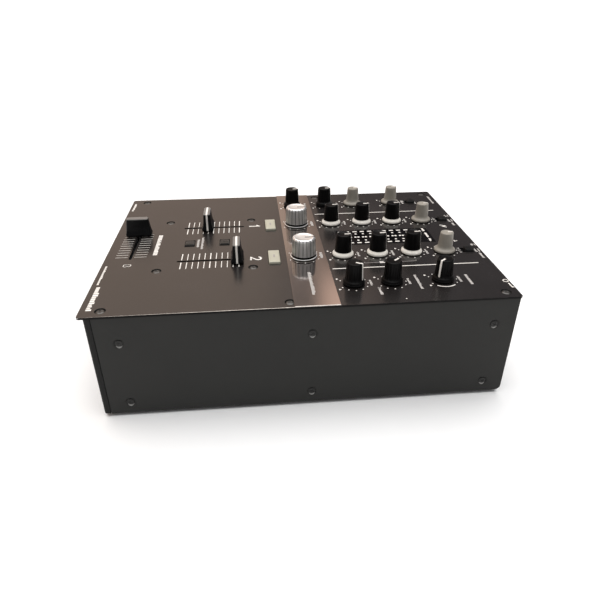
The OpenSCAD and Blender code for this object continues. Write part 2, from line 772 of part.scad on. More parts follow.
module board_standoffs() color([0.8, 0.75, 0.5]) at_deck() {
    each_at(MAIN_POSTS) post(floor_z, main_board_top - board_t);
    each_at(POWER_POSTS) post(floor_z, power_board_z);
    each_at(CONTROL_POSTS) post(control_board_top, -deck_t);
    each_at(FADER_SCREWS) difference() {
        post(fader_board_top, -deck_t);
        translate([0, 0, -deck_t - screw_l]) cylinder(h = screw_l + eps, r = shank_r);
    }
}

// Flat cables from the main board up to the two boards under the deck
module ribbon(y, z0, z1, bow) translate([-ribbon_w / 2, y, 0])
    rotate([90, 0, 90]) linear_extrude(ribbon_w)
        polygon([[0, z0], [ribbon_t, z0], [ribbon_t + bow, (z0 + z1) / 2], [ribbon_t, z1],
            [0, z1], [bow, (z0 + z1) / 2]]);

module ribbon_cables() color([0.6, 0.6, 0.62]) at_deck() {
    ribbon(4, main_board_top, control_board_top - board_t, -ribbon_bow);
    ribbon(-22, main_board_top, fader_board_top - board_t, ribbon_bow);
}

// --- Fasteners and feet ---

// Cross-head screw with its head on z = 0 and its shank below
module screw(head_r, head_h, length) difference() {
    union() {
        cylinder(h = head_h, r1 = head_r, r2 = head_r * 0.8);
        translate([0, 0, -length]) cylinder(h = length + eps, r = shank_r);
    }
    for (a = [0, 90]) rotate(a) block([head_r, head_r / 4, head_h], head_h * 0.4);
}

module deck_screws() color([0.1, 0.1, 0.1]) at_deck() {
    each_at(CORNER_SCREWS) translate([0, 0, -dish_h])
        screw(deck_head_r - eps, deck_head_h, deck_t + tray_t - dish_h);
    each_at(FADER_SCREWS) translate([0, 0, -dish_h])
        screw(deck_head_r - eps, deck_head_h, screw_l);
}

module side_screws() color([0.1, 0.1, 0.1]) at_deck()
    for (side = [-1, 1], p = SIDE_SCREWS)
        translate([side * (side_x - dimple_h), p.x, p.y]) rotate([0, side * 90, 0])
            screw(side_head_r - eps, side_head_h, panel_t + tray_t - dimple_h);

module rubber_feet() color([0.05, 0.05, 0.05]) translate([0, deck_y, 0])
    each_at(FEET) difference() {
        cylinder(h = foot_h, r = foot_r);
        translate([0, 0, -eps]) cylinder(h = foot_h / 2 + 2 * eps, r = deck_head_r + gap);
        cylinder(h = foot_h + eps, r = shank_r + push_gap);
    }

module foot_screws() color("silver") translate([0, deck_y, foot_h / 2])
    each_at(FEET) rotate([180, 0, 0])
        screw(deck_head_r, foot_h / 4, foot_h / 2 + foot_screw_l);

// --- Sockets ---

// Barrels behind the rear panel and the moulded blocks that hold them
module phono_sockets() color([0.85, 0.8, 0.6]) at_deck() each_on_rear(RCA) difference() {
    union() {
        translate([0, 0, -panel_t - eps])
            cylinder(h = panel_t + rear_inset + rca_reach + eps, r = rca_r);
        cylinder(h = rca_base_t, r = rca_base_r);
        translate([0, 0, -panel_t - rca_block_d]) block([rca_pitch - gap, rca_pitch, rca_block_d]);
    }
    translate([0, 0, rear_inset + rca_reach - rca_pin_depth])
        cylinder(h = rca_pin_depth + eps, r = rca_pin_r);
}

// Quarter-inch jack: flange outside the panel, block behind it, bore along its axis
module jack() difference() {
    union() {
        cylinder(h = jack_flange_t, r = jack_flange_r + 1);
        translate([0, 0, -panel_t - eps]) cylinder(h = panel_t + 2 * eps, r = jack_flange_r);
        translate([0, 0, -panel_t - jack_block_d])
            block([jack_block_w, jack_block_w, jack_block_d]);
    }
    translate([0, 0, jack_flange_t - jack_depth]) cylinder(h = jack_depth + eps, r = jack_r);
}

module output_jacks() color([0.12, 0.12, 0.12]) at_deck() each_on_rear(OUTPUT_JACKS) jack();

module headphone_jacks() color([0.12, 0.12, 0.12]) at_deck()
    for (p = HEADPHONE_JACKS) translate([p.x, front_y, p.y]) rotate([90, 0, 0]) jack();

module ground_post() color([0.75, 0.75, 0.76]) at_deck() each_on_rear([[post_x, rca_low_z]]) {
    thumb_r = 4.5;
    thumb_h = 5;
    translate([0, 0, -rca_block_d]) cylinder(h = rca_block_d + eps, r = shank_r);
    cylinder(h = thumb_h, r = thumb_r);
}

// Mains inlet with three blades, and the frame of the power rocker beside it
module power_inlet() color([0.06, 0.06, 0.06]) at_deck() {
    blade = [1.6, 9, 4];
    translate([inlet_x, rear_y, inlet_z]) {
        difference() {
            union() {
                span_block([-inlet_w / 2 - inlet_flange, 0, -inlet_h / 2 - inlet_flange],
                    [inlet_w / 2 + inlet_flange, inlet_flange_t, inlet_h / 2 + inlet_flange]);
                span_block([-inlet_w / 2, -inlet_depth, -inlet_h / 2],
                    [inlet_w / 2, eps, inlet_h / 2]);
            }
            span_block([-inlet_w / 2 + inlet_wall, -inlet_depth + inlet_wall,
                -inlet_h / 2 + inlet_wall],
                [inlet_w / 2 - inlet_wall, inlet_flange_t + eps, inlet_h / 2 - inlet_wall]);
        }
        for (x = [-7, 0, 7]) translate([x - blade.x / 2, -inlet_depth + inlet_wall - eps,
            x == 0 ? 0 : -4]) cube(blade);
    }
    translate([rocker_x, rear_y, inlet_z]) difference() {
        union() {
            span_block([-rocker_w / 2 - 2 * rocker_frame, 0, -rocker_h / 2 - 2 * rocker_frame],
                [rocker_w / 2 + 2 * rocker_frame, inlet_flange_t,
                    rocker_h / 2 + 2 * rocker_frame]);
            span_block([-rocker_w / 2 - rocker_frame, -rocker_d - rocker_frame,
                -rocker_h / 2 - rocker_frame],
                [rocker_w / 2 + rocker_frame, eps, rocker_h / 2 + rocker_frame]);
        }
        span_block([-rocker_w / 2, -rocker_d, -rocker_h / 2],
            [rocker_w / 2, inlet_flange_t + eps, rocker_h / 2]);
        translate([0, rocker_pivot, 0]) rotate([0, 90, 0])
            cylinder(h = rocker_axle_l + 2 * push_gap, r = rocker_axle_r + shaft_gap, center = true);
    }
}

// Rocker with two leaning faces on its axle, tilted to its off side
module power_rocker() color([0.1, 0.1, 0.1]) at_deck()
    translate([rocker_x, rear_y + rocker_pivot, inlet_z]) rotate([rocker_tilt, 0, 0]) {
        half = rocker_h / 2 - 4 * gap;
        span = rocker_w - 2 * gap;
        front = rocker_reach - rocker_pivot;
        translate([-span / 2, 0, 0]) rotate([90, 0, 90]) linear_extrude(span)
            polygon([[0, -rocker_axle_r], [front, -half], [front - 1, 0], [front, half],
                [0, rocker_axle_r]]);
        rotate([0, 90, 0]) cylinder(h = rocker_axle_l, r = rocker_axle_r, center = true);
    }

top_panel();
mirror_strip();
chassis_tray();
front_panel();
rear_panel();
side_panel_right();
side_panel_left();
meter_window();
meter_lamps();
control_board();
fader_board();
main_board();
power_board();
transformer();
rotary_pots();
pot_nuts();
channel_fader_units();
crossfader_unit();
cue_switches();
slide_switch_bodies();
board_standoffs();
ribbon_cables();
deck_screws();
side_screws();
foot_screws();
rubber_feet();
phono_sockets();
output_jacks();
ground_post();
power_inlet();
headphone_jacks();
headphone_level_knob();
headphone_mix_knob();
mic_tone_knob();
mic_level_knob();
ch1_filter_knob();
ch1_low_knob();
ch1_mid_knob();
ch1_high_knob();
ch1_trim_knob();
ch2_filter_knob();
ch2_low_knob();
ch2_mid_knob();
ch2_high_knob();
ch2_trim_knob();
balance_knob();
booth_level_knob();
master_level_knob();
ch1_fader();
ch2_fader();
crossfader();
ch1_cue_button();
ch2_cue_button();
mic_selector();
ch1_selector();
ch2_selector();
reverse_switch();
curve_switch();
power_rocker();
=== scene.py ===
import json
import math
import random

import bmesh
import bpy
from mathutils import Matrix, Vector


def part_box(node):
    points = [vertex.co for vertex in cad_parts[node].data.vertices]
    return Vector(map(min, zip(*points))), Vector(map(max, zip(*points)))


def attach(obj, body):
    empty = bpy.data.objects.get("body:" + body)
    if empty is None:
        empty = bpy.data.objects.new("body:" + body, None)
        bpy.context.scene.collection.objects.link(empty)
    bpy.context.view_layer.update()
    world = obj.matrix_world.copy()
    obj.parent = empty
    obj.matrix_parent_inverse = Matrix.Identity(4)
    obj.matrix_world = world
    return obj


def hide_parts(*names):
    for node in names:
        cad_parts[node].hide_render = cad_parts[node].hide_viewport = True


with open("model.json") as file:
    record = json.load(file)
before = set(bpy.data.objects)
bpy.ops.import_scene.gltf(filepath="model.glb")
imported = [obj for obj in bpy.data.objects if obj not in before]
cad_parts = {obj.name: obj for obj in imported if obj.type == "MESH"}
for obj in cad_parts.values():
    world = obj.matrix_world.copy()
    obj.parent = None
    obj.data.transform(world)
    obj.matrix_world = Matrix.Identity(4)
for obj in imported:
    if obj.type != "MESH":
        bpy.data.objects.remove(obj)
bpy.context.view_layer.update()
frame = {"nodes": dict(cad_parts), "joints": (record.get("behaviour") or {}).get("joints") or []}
nodes = frame["nodes"]
rng = random.Random(7)

# --- Frame of the deck: its origin is the middle of the deck's top face, in millimetres ---

MM = 0.001
TOP_LOW, TOP_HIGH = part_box("top_panel")
DECK = Vector((0, (TOP_LOW.y + TOP_HIGH.y) / 2, TOP_HIGH.z))
STRIP_TOP = (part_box("mirror_strip")[1].z - DECK.z) / MM
WINDOW_TOP = (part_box("meter_window")[1].z - DECK.z) / MM
PRINT_T = 0.04
CHANNEL_X = 34.5
SHANK_R = 1.5
LEVER_FOOT_Y = -93.6
TICKS = 11
FADER_PITCH = 4.64
CROSS_PITCH = 4.6
KNOB_SCALE_R = 10.8
AXIS = {j["child"]: Vector(j["pos_m"]) for j in frame["joints"] if j["type"] == "hinge"}


def at(x, y, z=0.0):
    """A point of the deck's frame, in metres in the row frame."""
    return DECK + Vector((x, y, z)) * MM


def spot(body):
    """Where a turning body's axis stands, as x and y in the deck's frame."""
    p = (AXIS[body] - DECK) / MM
    return p.x, p.y


def node_middle(node):
    """The middle of a node's box, as x and y in the deck's frame."""
    low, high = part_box(node)
    p = ((low + high) / 2 - DECK) / MM
    return p.x, p.y


# --- Materials ---


def graph(name):
    """A new material with its node tree, its Principled shader and object coordinates."""
    material = bpy.data.materials.new(name)
    material.use_nodes = True
    tree = material.node_tree
    shader = tree.nodes["Principled BSDF"]
    coordinates = tree.nodes.new("ShaderNodeTexCoord")
    return material, tree, shader, coordinates.outputs["Object"]


def noise(tree, vector, scale, detail=3.0, stretch=(1, 1, 1), rough=0.5):
    """A noise field over object coordinates, stretched along an axis where asked."""
    mapping = tree.nodes.new("ShaderNodeMapping")
    mapping.inputs["Scale"].default_value = stretch
    tree.links.new(vector, mapping.inputs["Vector"])
    field = tree.nodes.new("ShaderNodeTexNoise")
    field.inputs["Scale"].default_value = scale
    field.inputs["Detail"].default_value = detail
    field.inputs["Roughness"].default_value = rough
    tree.links.new(mapping.outputs["Vector"], field.inputs["Vector"])
    return field.outputs["Fac"]


def ranged(tree, value, low, high, from_low=0.3, from_high=0.7):
    """The value brought from the noise's usual range to low..high."""
    node = tree.nodes.new("ShaderNodeMapRange")
    node.inputs["From Min"].default_value = from_low
    node.inputs["From Max"].default_value = from_high
    node.inputs["To Min"].default_value = low
    node.inputs["To Max"].default_value = high
    tree.links.new(value, node.inputs["Value"])
    return node.outputs["Result"]


def mixed(tree, factor, first, second):
    """Two colours mixed by a factor."""
    node = tree.nodes.new("ShaderNodeMix")
    node.data_type = "RGBA"
    node.inputs["A"].default_value = (*first, 1)
    node.inputs["B"].default_value = (*second, 1)
    tree.links.new(factor, node.inputs["Factor"])
    return node.outputs["Result"]


def finish_of(name, colour, rough, metal=0.0, tone=0.12, rough_spread=0.06, grain=900.0,
              grain_depth=0.02, stretch=(1, 1, 1), smudge=35.0, specular=0.5, coat=0.0,
              coat_rough=0.1, glow=0.0):
    """A finish with cloudy tone, uneven gloss from handling and a fine surface grain."""
    material, tree, shader, place = graph(name)
    cloud = noise(tree, place, smudge, 5.0)
    fine = noise(tree, place, grain, 4.0, stretch)
    darker = tuple(c * (1 - tone) for c in colour)
    lighter = tuple(min(1, c * (1 + tone)) for c in colour)
    shade = tree.nodes.new("ShaderNodeMath")
    shade.operation = "MULTIPLY_ADD"
    shade.inputs[1].default_value = 0.5
    tree.links.new(cloud, shade.inputs[0])
    half = tree.nodes.new("ShaderNodeMath")
    half.operation = "MULTIPLY"
    half.inputs[1].default_value = 0.5
    tree.links.new(fine, half.inputs[0])
    tree.links.new(half.outputs["Value"], shade.inputs[2])
    tree.links.new(mixed(tree, ranged(tree, shade.outputs["Value"], 0, 1), darker, lighter),
                   shader.inputs["Base Color"])
    tree.links.new(ranged(tree, shade.outputs["Value"], rough - rough_spread,
                          rough + rough_spread), shader.inputs["Roughness"])
    bump = tree.nodes.new("ShaderNodeBump")
    bump.inputs["Strength"].default_value = 0.6
    bump.inputs["Distance"].default_value = grain_depth * MM
    tree.links.new(fine, bump.inputs["Height"])
    tree.links.new(bump.outputs["Normal"], shader.inputs["Normal"])
    shader.inputs["Metallic"].default_value = metal
    shader.inputs["Specular IOR Level"].default_value = specular
    shader.inputs["Coat Weight"].default_value = coat
    shader.inputs["Coat Roughness"].default_value = coat_rough
    if glow:
        shader.inputs["Emission Color"].default_value = (*colour, 1)
        shader.inputs["Emission Strength"].default_value = glow
    return material


M = {
    "deck": finish_of("deck_paint", (0.0120, 0.0102, 0.0098), 0.25, tone=0.2, grain=2600,
                      grain_depth=0.012, rough_spread=0.03, smudge=22, specular=0.7),
    "case": finish_of("case_powder", (0.0205, 0.0205, 0.0192), 0.6, tone=0.25, grain=2200,
                      grain_depth=0.05, rough_spread=0.08, smudge=26, specular=0.25),
    # the bare edge metal is bright and diffuse so that it also paints the highlight along the
    # deck's top edges
    "edge": finish_of("deck_edge_wear_and_highlight", (0.72, 0.67, 0.62), 0.45, metal=0.15, tone=0.3, grain=500,
                      grain_depth=0.01, smudge=60),
    # a darker copy of the deck paint: painted shade on the deck's side edges and in its screw
    # dishes
    "deck_painted_shade": finish_of("deck_painted_shade", (0.0055, 0.0053, 0.0050), 0.65, tone=0.2, grain=2200,
                           grain_depth=0.03, specular=0.12),
    "front": finish_of("front_powder", (0.0090, 0.0090, 0.0087), 0.6, tone=0.25, grain=2200,
                       grain_depth=0.05, rough_spread=0.08, smudge=26, specular=0.2),
    "mirror": finish_of("mirror_hairline", (0.385, 0.35, 0.334), 0.10, metal=1.0, tone=0.10,
                        grain=420, grain_depth=0.007, stretch=(0.5, 12, 1), rough_spread=0.03,
                        smudge=30),
    "tray": finish_of("tray_zinc", (0.20, 0.205, 0.21), 0.42, metal=1.0, tone=0.15, grain=300,
                      stretch=(1, 12, 1)),
    "screw": finish_of("screw_oxide", (0.085, 0.082, 0.078), 0.34, metal=0.85, tone=0.3,
                       grain=1500, grain_depth=0.01),
    "steel": finish_of("bright_steel", (0.62, 0.62, 0.63), 0.24, metal=1.0, tone=0.1, grain=900,
                       grain_depth=0.006, stretch=(1, 1, 10)),
    "smoke": finish_of("meter_smoke", (0.0025, 0.0025, 0.003), 0.16, tone=0.2, grain=300,
                       grain_depth=0.004, rough_spread=0.03, specular=0.12),
    "lamp": finish_of("lamp_white", (0.80, 0.78, 0.70), 0.4, tone=0.06, grain=900, glow=0.25),
    "board": finish_of("board_mask", (0.02, 0.12, 0.045), 0.35, tone=0.25, grain=500, smudge=120),
    "core": finish_of("core_laminate", (0.16, 0.16, 0.165), 0.5, metal=0.7, tone=0.2, grain=260,
                      stretch=(1, 20, 1)),
    "pot": finish_of("pot_body", (0.05, 0.11, 0.07), 0.5, tone=0.2),
    "plastic": finish_of("black_plastic", (0.008, 0.008, 0.0082), 0.38, tone=0.25, grain=1700,
                         grain_depth=0.02, rough_spread=0.07, smudge=90, specular=0.3),
    "ribbon": finish_of("ribbon_sleeve", (0.42, 0.42, 0.44), 0.55, tone=0.2, grain=400,
                        stretch=(4, 1, 1)),
    "rubber": finish_of("foot_rubber", (0.022, 0.022, 0.022), 0.78, tone=0.3, grain=1400,
                        grain_depth=0.06),
    "contact": finish_of("contact_metal", (0.72, 0.66, 0.52), 0.26, metal=1.0, tone=0.1,
                         grain=900, grain_depth=0.006, stretch=(1, 1, 8)),
    "knob": finish_of("knob_black", (0.0024, 0.0022, 0.0023), 0.34, tone=0.25, grain=1900,
                      grain_depth=0.010, rough_spread=0.06, smudge=160, specular=0.10),
    "cap": finish_of("fader_black", (0.0035, 0.0035, 0.0039), 0.3, tone=0.25, grain=1500,
                     grain_depth=0.006, rough_spread=0.05, smudge=120, specular=0.12),
    # a lighter grey for the fader caps' tops: painted highlight where light falls on them
    "cap_top": finish_of("fader_top_lit", (0.150, 0.141, 0.133), 0.36, tone=0.25, grain=1500,
                         grain_depth=0.006, rough_spread=0.05, smudge=120, specular=0.6),
    "slide": finish_of("slide_black", (0.050, 0.047, 0.044), 0.32, tone=0.25, grain=1500,
                       grain_depth=0.006, rough_spread=0.05, smudge=120, specular=0.5),
    "grey": finish_of("knob_grey", (0.285, 0.262, 0.225), 0.46, tone=0.10, grain=1700,
                      grain_depth=0.012, rough_spread=0.07, smudge=160, specular=0.4),
    "cream": finish_of("skirt_cream", (0.85, 0.81, 0.74), 0.42, tone=0.05, grain=1500,
                       grain_depth=0.01, rough_spread=0.06, smudge=160),
    "chrome": finish_of("knob_metal", (0.66, 0.655, 0.65), 0.33, metal=0.9, tone=0.04,
                        grain=300, grain_depth=0.0003, stretch=(1, 1, 0.1), rough_spread=0.02,
                        smudge=60),
    # a dark copy of the knob metal for the flute bottoms: painted shade in the grooves
    "groove": finish_of("knob_groove_painted_shade", (0.12, 0.118, 0.115), 0.35, metal=0.8, tone=0.1,
                        grain=300, grain_depth=0.0003, smudge=60),
    # a lighter copy of the knob metal for the tops and base rings: painted highlight, with a
    # rougher brushed finish
    "chrome_lit": finish_of("knob_metal_top_lit", (0.86, 0.85, 0.84), 0.36, metal=0.9, tone=0.08,
                            grain=600, grain_depth=0.002, rough_spread=0.04, smudge=80),
    # painted glint: the bright crescent under each side screw head
    "ring": finish_of("screw_painted_glint", (0.27, 0.265, 0.255), 0.4, metal=0.2, tone=0.2, grain=900,
                      grain_depth=0.006),
    "screw_dark": finish_of("screw_dark", (0.018, 0.018, 0.017), 0.42, metal=0.4, tone=0.3,
                            grain=1500, grain_depth=0.01),
    "cue": finish_of("cue_cream", (0.43, 0.415, 0.33), 0.38, tone=0.07, grain=900,
                     grain_depth=0.01, smudge=120),
    "print": finish_of("print_white", (0.82, 0.78, 0.73), 0.55, tone=0.10, grain=1500,
                       grain_depth=0.005, smudge=300),
    "print_soft": finish_of("print_soft", (0.50, 0.475, 0.45), 0.55, tone=0.12, grain=1500,
                            grain_depth=0.005),
    "print_grey": finish_of("print_grey", (0.30, 0.27, 0.26), 0.55, tone=0.12, grain=1500),
    "red": finish_of("ring_red", (0.45, 0.02, 0.015), 0.4, tone=0.12, grain=900),
    "white": finish_of("ring_white", (0.75, 0.74, 0.70), 0.42, tone=0.08, grain=900),
}

# --- Mesh helpers ---


def piece(name, bm, materials, body="root", stands_for=(), angle=32):
    """A mesh in the row frame that rides on a body, shaded smooth except at its sharp edges."""
    bmesh.ops.recalc_face_normals(bm, faces=bm.faces)
    for face in bm.faces:
        face.smooth = True
    for edge in bm.edges:
        if len(edge.link_faces) == 2:
            edge.smooth = edge.calc_face_angle(0) < math.radians(angle)
    mesh = bpy.data.meshes.new(name)
    bm.to_mesh(mesh)
    bm.free()
    for material in materials:
        mesh.materials.append(material)
    obj = bpy.data.objects.new(name, mesh)
    bpy.context.scene.collection.objects.link(obj)
    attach(obj, body)
    if stands_for:
        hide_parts(*stands_for)
    return obj


def corners_between(low, high, i, j):
    """The corners of the face between two rings, either of which may be a single point."""
    corners = (low[i % len(low)], low[j % len(low)], high[j % len(high)], high[i % len(high)])
    return list(dict.fromkeys(corners))


def lathe(bm, x, y, profile, segments=72, turn=0.0):
    """Turns [radius, height, material, flute] rows about an upright axis.
    A row's flute is (count, depth, sharpness, material): the surface has grooves of that depth,
    and their bottoms take the material."""
    rings = []
    for r, z, index, *flute in profile:
        floors = {}
        if r < 1e-6:
            rings.append(([bm.verts.new(at(x, y, z))], index, floors))
            continue
        ring = []
        for i in range(segments):
            a = math.tau * i / segments
            reach = r
            if flute and flute[0]:
                count, depth, sharpness, floor = flute[0]
                share = (0.5 + 0.5 * math.cos(count * a)) ** sharpness
                reach -= depth * share
                if share > 0.4:
                    floors[i] = floor
            spin = a - math.radians(turn)
            ring.append(bm.verts.new(at(x + reach * math.sin(spin), y + reach * math.cos(spin), z)))
        rings.append((ring, index, floors))
    for (low, _, _), (high, index, floors) in zip(rings, rings[1:]):
        for i in range(segments):
            j = (i + 1) % segments
            unique = corners_between(low, high, i, j)
            if len(unique) > 2:
                in_groove = i in floors and j in floors
                bm.faces.new(unique).material_index = floors[i] if in_groove else index


def prism(bm, points, z0, z1, index=0):
    """A flat outline in the deck's frame, drawn up from z0 to z1."""
    low = [bm.verts.new(at(px, py, z0)) for px, py in points]
    high = [bm.verts.new(at(px, py, z1)) for px, py in points]
    count = len(points)
    bm.faces.new(low[::-1]).material_index = index
    bm.faces.new(high).material_index = index
    for i in range(count):
        j = (i + 1) % count
        bm.faces.new((low[i], low[j], high[j], high[i])).material_index = index


def loft(bm, sections, index=0, top_index=0, top_rings=0):
    """Joins closed sections, each a list of points in the row frame, and closes both ends.
    The last face and that many rings under it take the top's material."""
    rings = [[bm.verts.new(p) for p in section] for section in sections]
    count = len(rings[0])
    for k, (low, high) in enumerate(zip(rings, rings[1:])):
        material = top_index if k >= len(rings) - 1 - top_rings else index
        for i in range(count):
            j = (i + 1) % count
            bm.faces.new((low[i], low[j], high[j], high[i])).material_index = material
    bm.faces.new(rings[0][::-1]).material_index = index
    bm.faces.new(rings[-1]).material_index = top_index


def rounded(w, d, r, steps=5):
    """Outline of a rectangle with round corners about the origin."""
    points = []
    for cx, cy, start in ((1, 1, 0), (-1, 1, 90), (-1, -1, 180), (1, -1, 270)):
        for i in range(steps + 1):
            a = math.radians(start + 90 * i / steps)
            points.append((cx * (w / 2 - r) + r * math.cos(a), cy * (d / 2 - r) + r * math.sin(a)))
    return points


def islands(node):
    """The separate solids of a CAD node: each a welded bmesh with its lowest and highest corner."""
    whole = bmesh.new()
    whole.from_mesh(nodes[node].data)
    bmesh.ops.remove_doubles(whole, verts=whole.verts, dist=1e-6)
    seen = set()
    found = []
    for first in whole.verts:
        if first in seen:
            continue
        group, queue = [], [first]
        seen.add(first)
        while queue:
            v = queue.pop()
            group.append(v)
            for edge in v.link_edges:
                other = edge.other_vert(v)
                if other not in seen:
                    seen.add(other)
                    queue.append(other)
        found.append(group)
    result = []
    for group in found:
        part = bmesh.new()
        copies = {v: part.verts.new(v.co) for v in group}
        for face in {f for v in group for f in v.link_faces}:
            part.faces.new([copies[v] for v in face.verts])
        low = Vector([min(v.co[i] for v in group) for i in range(3)])
        high = Vector([max(v.co[i] for v in group) for i in range(3)])
        result.append((part, low, high))
    whole.free()
    return result


def absorb(bm, part, index):
    """Adds a copy of another bmesh's faces, all with one material."""
    copies = {v: bm.verts.new(v.co) for v in part.verts}
    for face in part.faces:
        bm.faces.new([copies[v] for v in face.verts]).material_index = index
    part.free()


def softened(node, name, material, width, segments=2, side=None):
    """A CAD node's own shape with its hard edges rounded, shown in place of it.
    A side is a darker finish for its edge faces along both sides and for the walls of its screw
    dishes: painted shade."""
    bm = bmesh.new()
    for part, _, _ in islands(node):
        absorb(bm, part, 0)
    bmesh.ops.dissolve_limit(bm, angle_limit=math.radians(1), verts=bm.verts, edges=bm.edges)
    low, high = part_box(node)
    if side:
        for face in bm.faces:
            middle = face.calc_center_median()
            at_side = min(middle.x - low.x, high.x - middle.x) < 1e-5
            if (abs(face.normal.x) > 0.9 and at_side) or 0.1 < abs(face.normal.z) < 0.97:
                face.material_index = 1
    obj = piece(name, bm, [m for m in (material, side) if m], "root", (node,), 180)
    bevel = obj.modifiers.new("edges", "BEVEL")
    bevel.width = width * MM
    bevel.segments = segments
    bevel.limit_method = "ANGLE"
    bevel.angle_limit = math.radians(40)
    normals = obj.modifiers.new("normals", "WEIGHTED_NORMAL")
    normals.weight = 100
    return obj


def ribbon_line(bm, path, width, lift, index):
    """A thin painted line along a path of (point, outward normal, side) in the row frame."""
    rows = []
    for point, normal, side in path:
        rows.append([bm.verts.new(point + side * (s * width / 2 * MM) + normal * (h * lift * MM))
                     for s, h in ((-1, -1), (1, -1), (1, 1), (-1, 1))])
    for a, b in zip(rows, rows[1:]):
        for i in range(4):
            j = (i + 1) % 4
            bm.faces.new((a[i], a[j], b[j], b[i])).material_index = index
    bm.faces.new(rows[0][::-1]).material_index = index
    bm.faces.new(rows[-1]).material_index = index


def pointer(bm, x, y, outline, turn, width, index, lift=0.12, start=0.8):
    """The painted line on a knob: from near its middle over the top and down its side."""
    a = math.radians(turn)
    out = Vector((math.sin(a), math.cos(a), 0))
    side = Vector((math.cos(a), -math.sin(a), 0))
    rows = [(start, outline[0][1])] + outline
    path = []
    for i, (r, z) in enumerate(rows):
        before = rows[max(i - 1, 0)]
        after = rows[min(i + 1, len(rows) - 1)]
        run = Vector((after[0] - before[0], after[1] - before[1]))
        normal = out * -run.y + Vector((0, 0, run.x))
        path.append((at(x, y, z) + out * r * MM, normal.normalized(), side))
    ribbon_line(bm, path, width, lift, index)


# --- Knobs ---

KNOB_GAP = 0.7


def knob_piece(body, profile, line, materials, turn=0.0, segments=72, width=1.2,
               line_index=2, lift=0.45, shaft_index=3):
    """A knob's cap from its outline, its pointer line, and the shaft of the CAD node."""
    node = body + "_knob"
    x, y = spot(body)
    bm = bmesh.new()
    lathe(bm, x, y, profile, segments, turn)
    pointer(bm, x, y, line, turn, width, line_index, lift)
    for part, low, high in islands(node):
        if high.x - low.x < 7 * MM and low.z < DECK.z - 2 * MM:
            absorb(bm, part, shaft_index)
        else:
            part.free()
    return piece(node + "_cap", bm, materials, body, (node,))


def inside(base):
    """The hollow foot of a cap, which stands over the nut, from its middle out to its rim."""
    return [(0, 3.5, 0), (6.0, 3.5, 0), (6.0, base + 0.15, 0), (6.2, base, 0)]


def eq_knob(body):
    """Black cap over a flared cream skirt."""
    fluted = (24, 0.10, 2, 0)
    profile = inside(KNOB_GAP) + [
        (8.35, 0.7, 1), (8.62, 0.85, 1), (8.7, 1.15, 1), (8.7, 1.7, 1), (8.6, 2.15, 1),
        (8.38, 2.6, 1), (8.0, 3.05, 1), (7.55, 3.5, 1), (7.22, 3.95, 1), (7.08, 4.3, 1),
        (6.85, 4.36, 0), (6.85, 4.7, 0, fluted), (6.62, 8, 0, fluted), (6.36, 12, 0, fluted),
        (6.1, 16, 0, fluted), (5.98, 17.6, 0, fluted), (5.9, 18.1, 0), (5.72, 18.45, 0),
        (5.4, 18.66, 0), (5.0, 18.7, 0), (4.7, 18.62, 0), (4.45, 18.45, 0), (2.4, 18.3, 0),
        (0, 18.27, 0)]
    line = [(4.4, 18.45), (4.7, 18.64), (5.0, 18.72), (5.4, 18.68), (5.74, 18.46), (5.92, 18.1),
            (6.0, 17.6), (6.37, 12), (6.64, 8), (6.86, 4.6)]
    return knob_piece(body, profile, line, [M["knob"], M["cream"], M["print"], M["steel"]],
                      lift=0.25)


def black_knob(body, turn=0.0, lift=0.0):
    """Scalloped black cap on a black skirt with a groove."""
    fluted = (16, 0.34, 2, 0)
    profile = inside(KNOB_GAP + lift) + [
        (7.95, 0.7 + lift, 0), (8.25, 0.95 + lift, 0), (8.3, 1.4 + lift, 0),
        (8.22, 1.85 + lift, 0), (7.9, 2.05 + lift, 0), (7.88, 2.25 + lift, 0),
        (8.12, 2.45 + lift, 0), (8.05, 2.95, 0), (7.75, 3.4, 0), (7.25, 3.85, 0),
        (6.85, 4.25, 0), (6.72, 4.7, 0, fluted), (6.66, 6, 0, fluted), (6.42, 11, 0, fluted),
        (6.2, 15.6, 0, fluted), (6.12, 16.8, 0, fluted), (6.0, 17.3, 0), (5.8, 17.66, 0),
        (5.45, 17.86, 0), (5.0, 17.9, 0), (4.75, 17.82, 0), (4.5, 17.62, 0), (2.2, 17.5, 0),
        (0, 17.48, 0)]
    line = [(4.5, 17.62), (4.78, 17.84), (5.05, 17.92), (5.45, 17.88), (5.82, 17.68),
            (6.02, 17.3), (6.14, 16.8), (6.22, 15.6), (6.44, 11), (6.68, 6), (6.74, 4.7)]
    return knob_piece(body, profile, line, [M["knob"], M["knob"], M["print"], M["steel"]],
                      turn, 96, 1.35, 2, 0.16)


def grey_knob(body):
    """Slim grey cap that flares into its skirt."""
    fluted = (20, 0.12, 2, 0)
    profile = inside(KNOB_GAP) + [
        (8.45, 0.7, 0), (8.72, 0.88, 0), (8.8, 1.2, 0), (8.78, 1.75, 0), (8.6, 2.2, 0),
        (8.2, 2.62, 0), (7.6, 3.0, 0), (6.95, 3.45, 0), (6.4, 4.0, 0), (6.05, 4.7, 0),
        (5.85, 5.6, 0, fluted), (5.6, 9, 0, fluted), (5.35, 13, 0, fluted),
        (5.18, 15.6, 0, fluted), (5.1, 16.2, 0), (4.95, 16.66, 0), (4.65, 16.92, 0),
        (4.3, 17.0, 0), (4.05, 16.92, 0), (3.85, 16.75, 0), (2, 16.66, 0), (0, 16.64, 0)]
    line = [(3.9, 16.76), (4.08, 16.94), (4.3, 17.02), (4.66, 16.94), (4.97, 16.68),
            (5.12, 16.2), (5.2, 15.6), (5.37, 13), (5.62, 9), (5.87, 5.6), (6.06, 4.75)]
    return knob_piece(body, profile, line, [M["grey"], M["grey"], M["print"], M["steel"]])


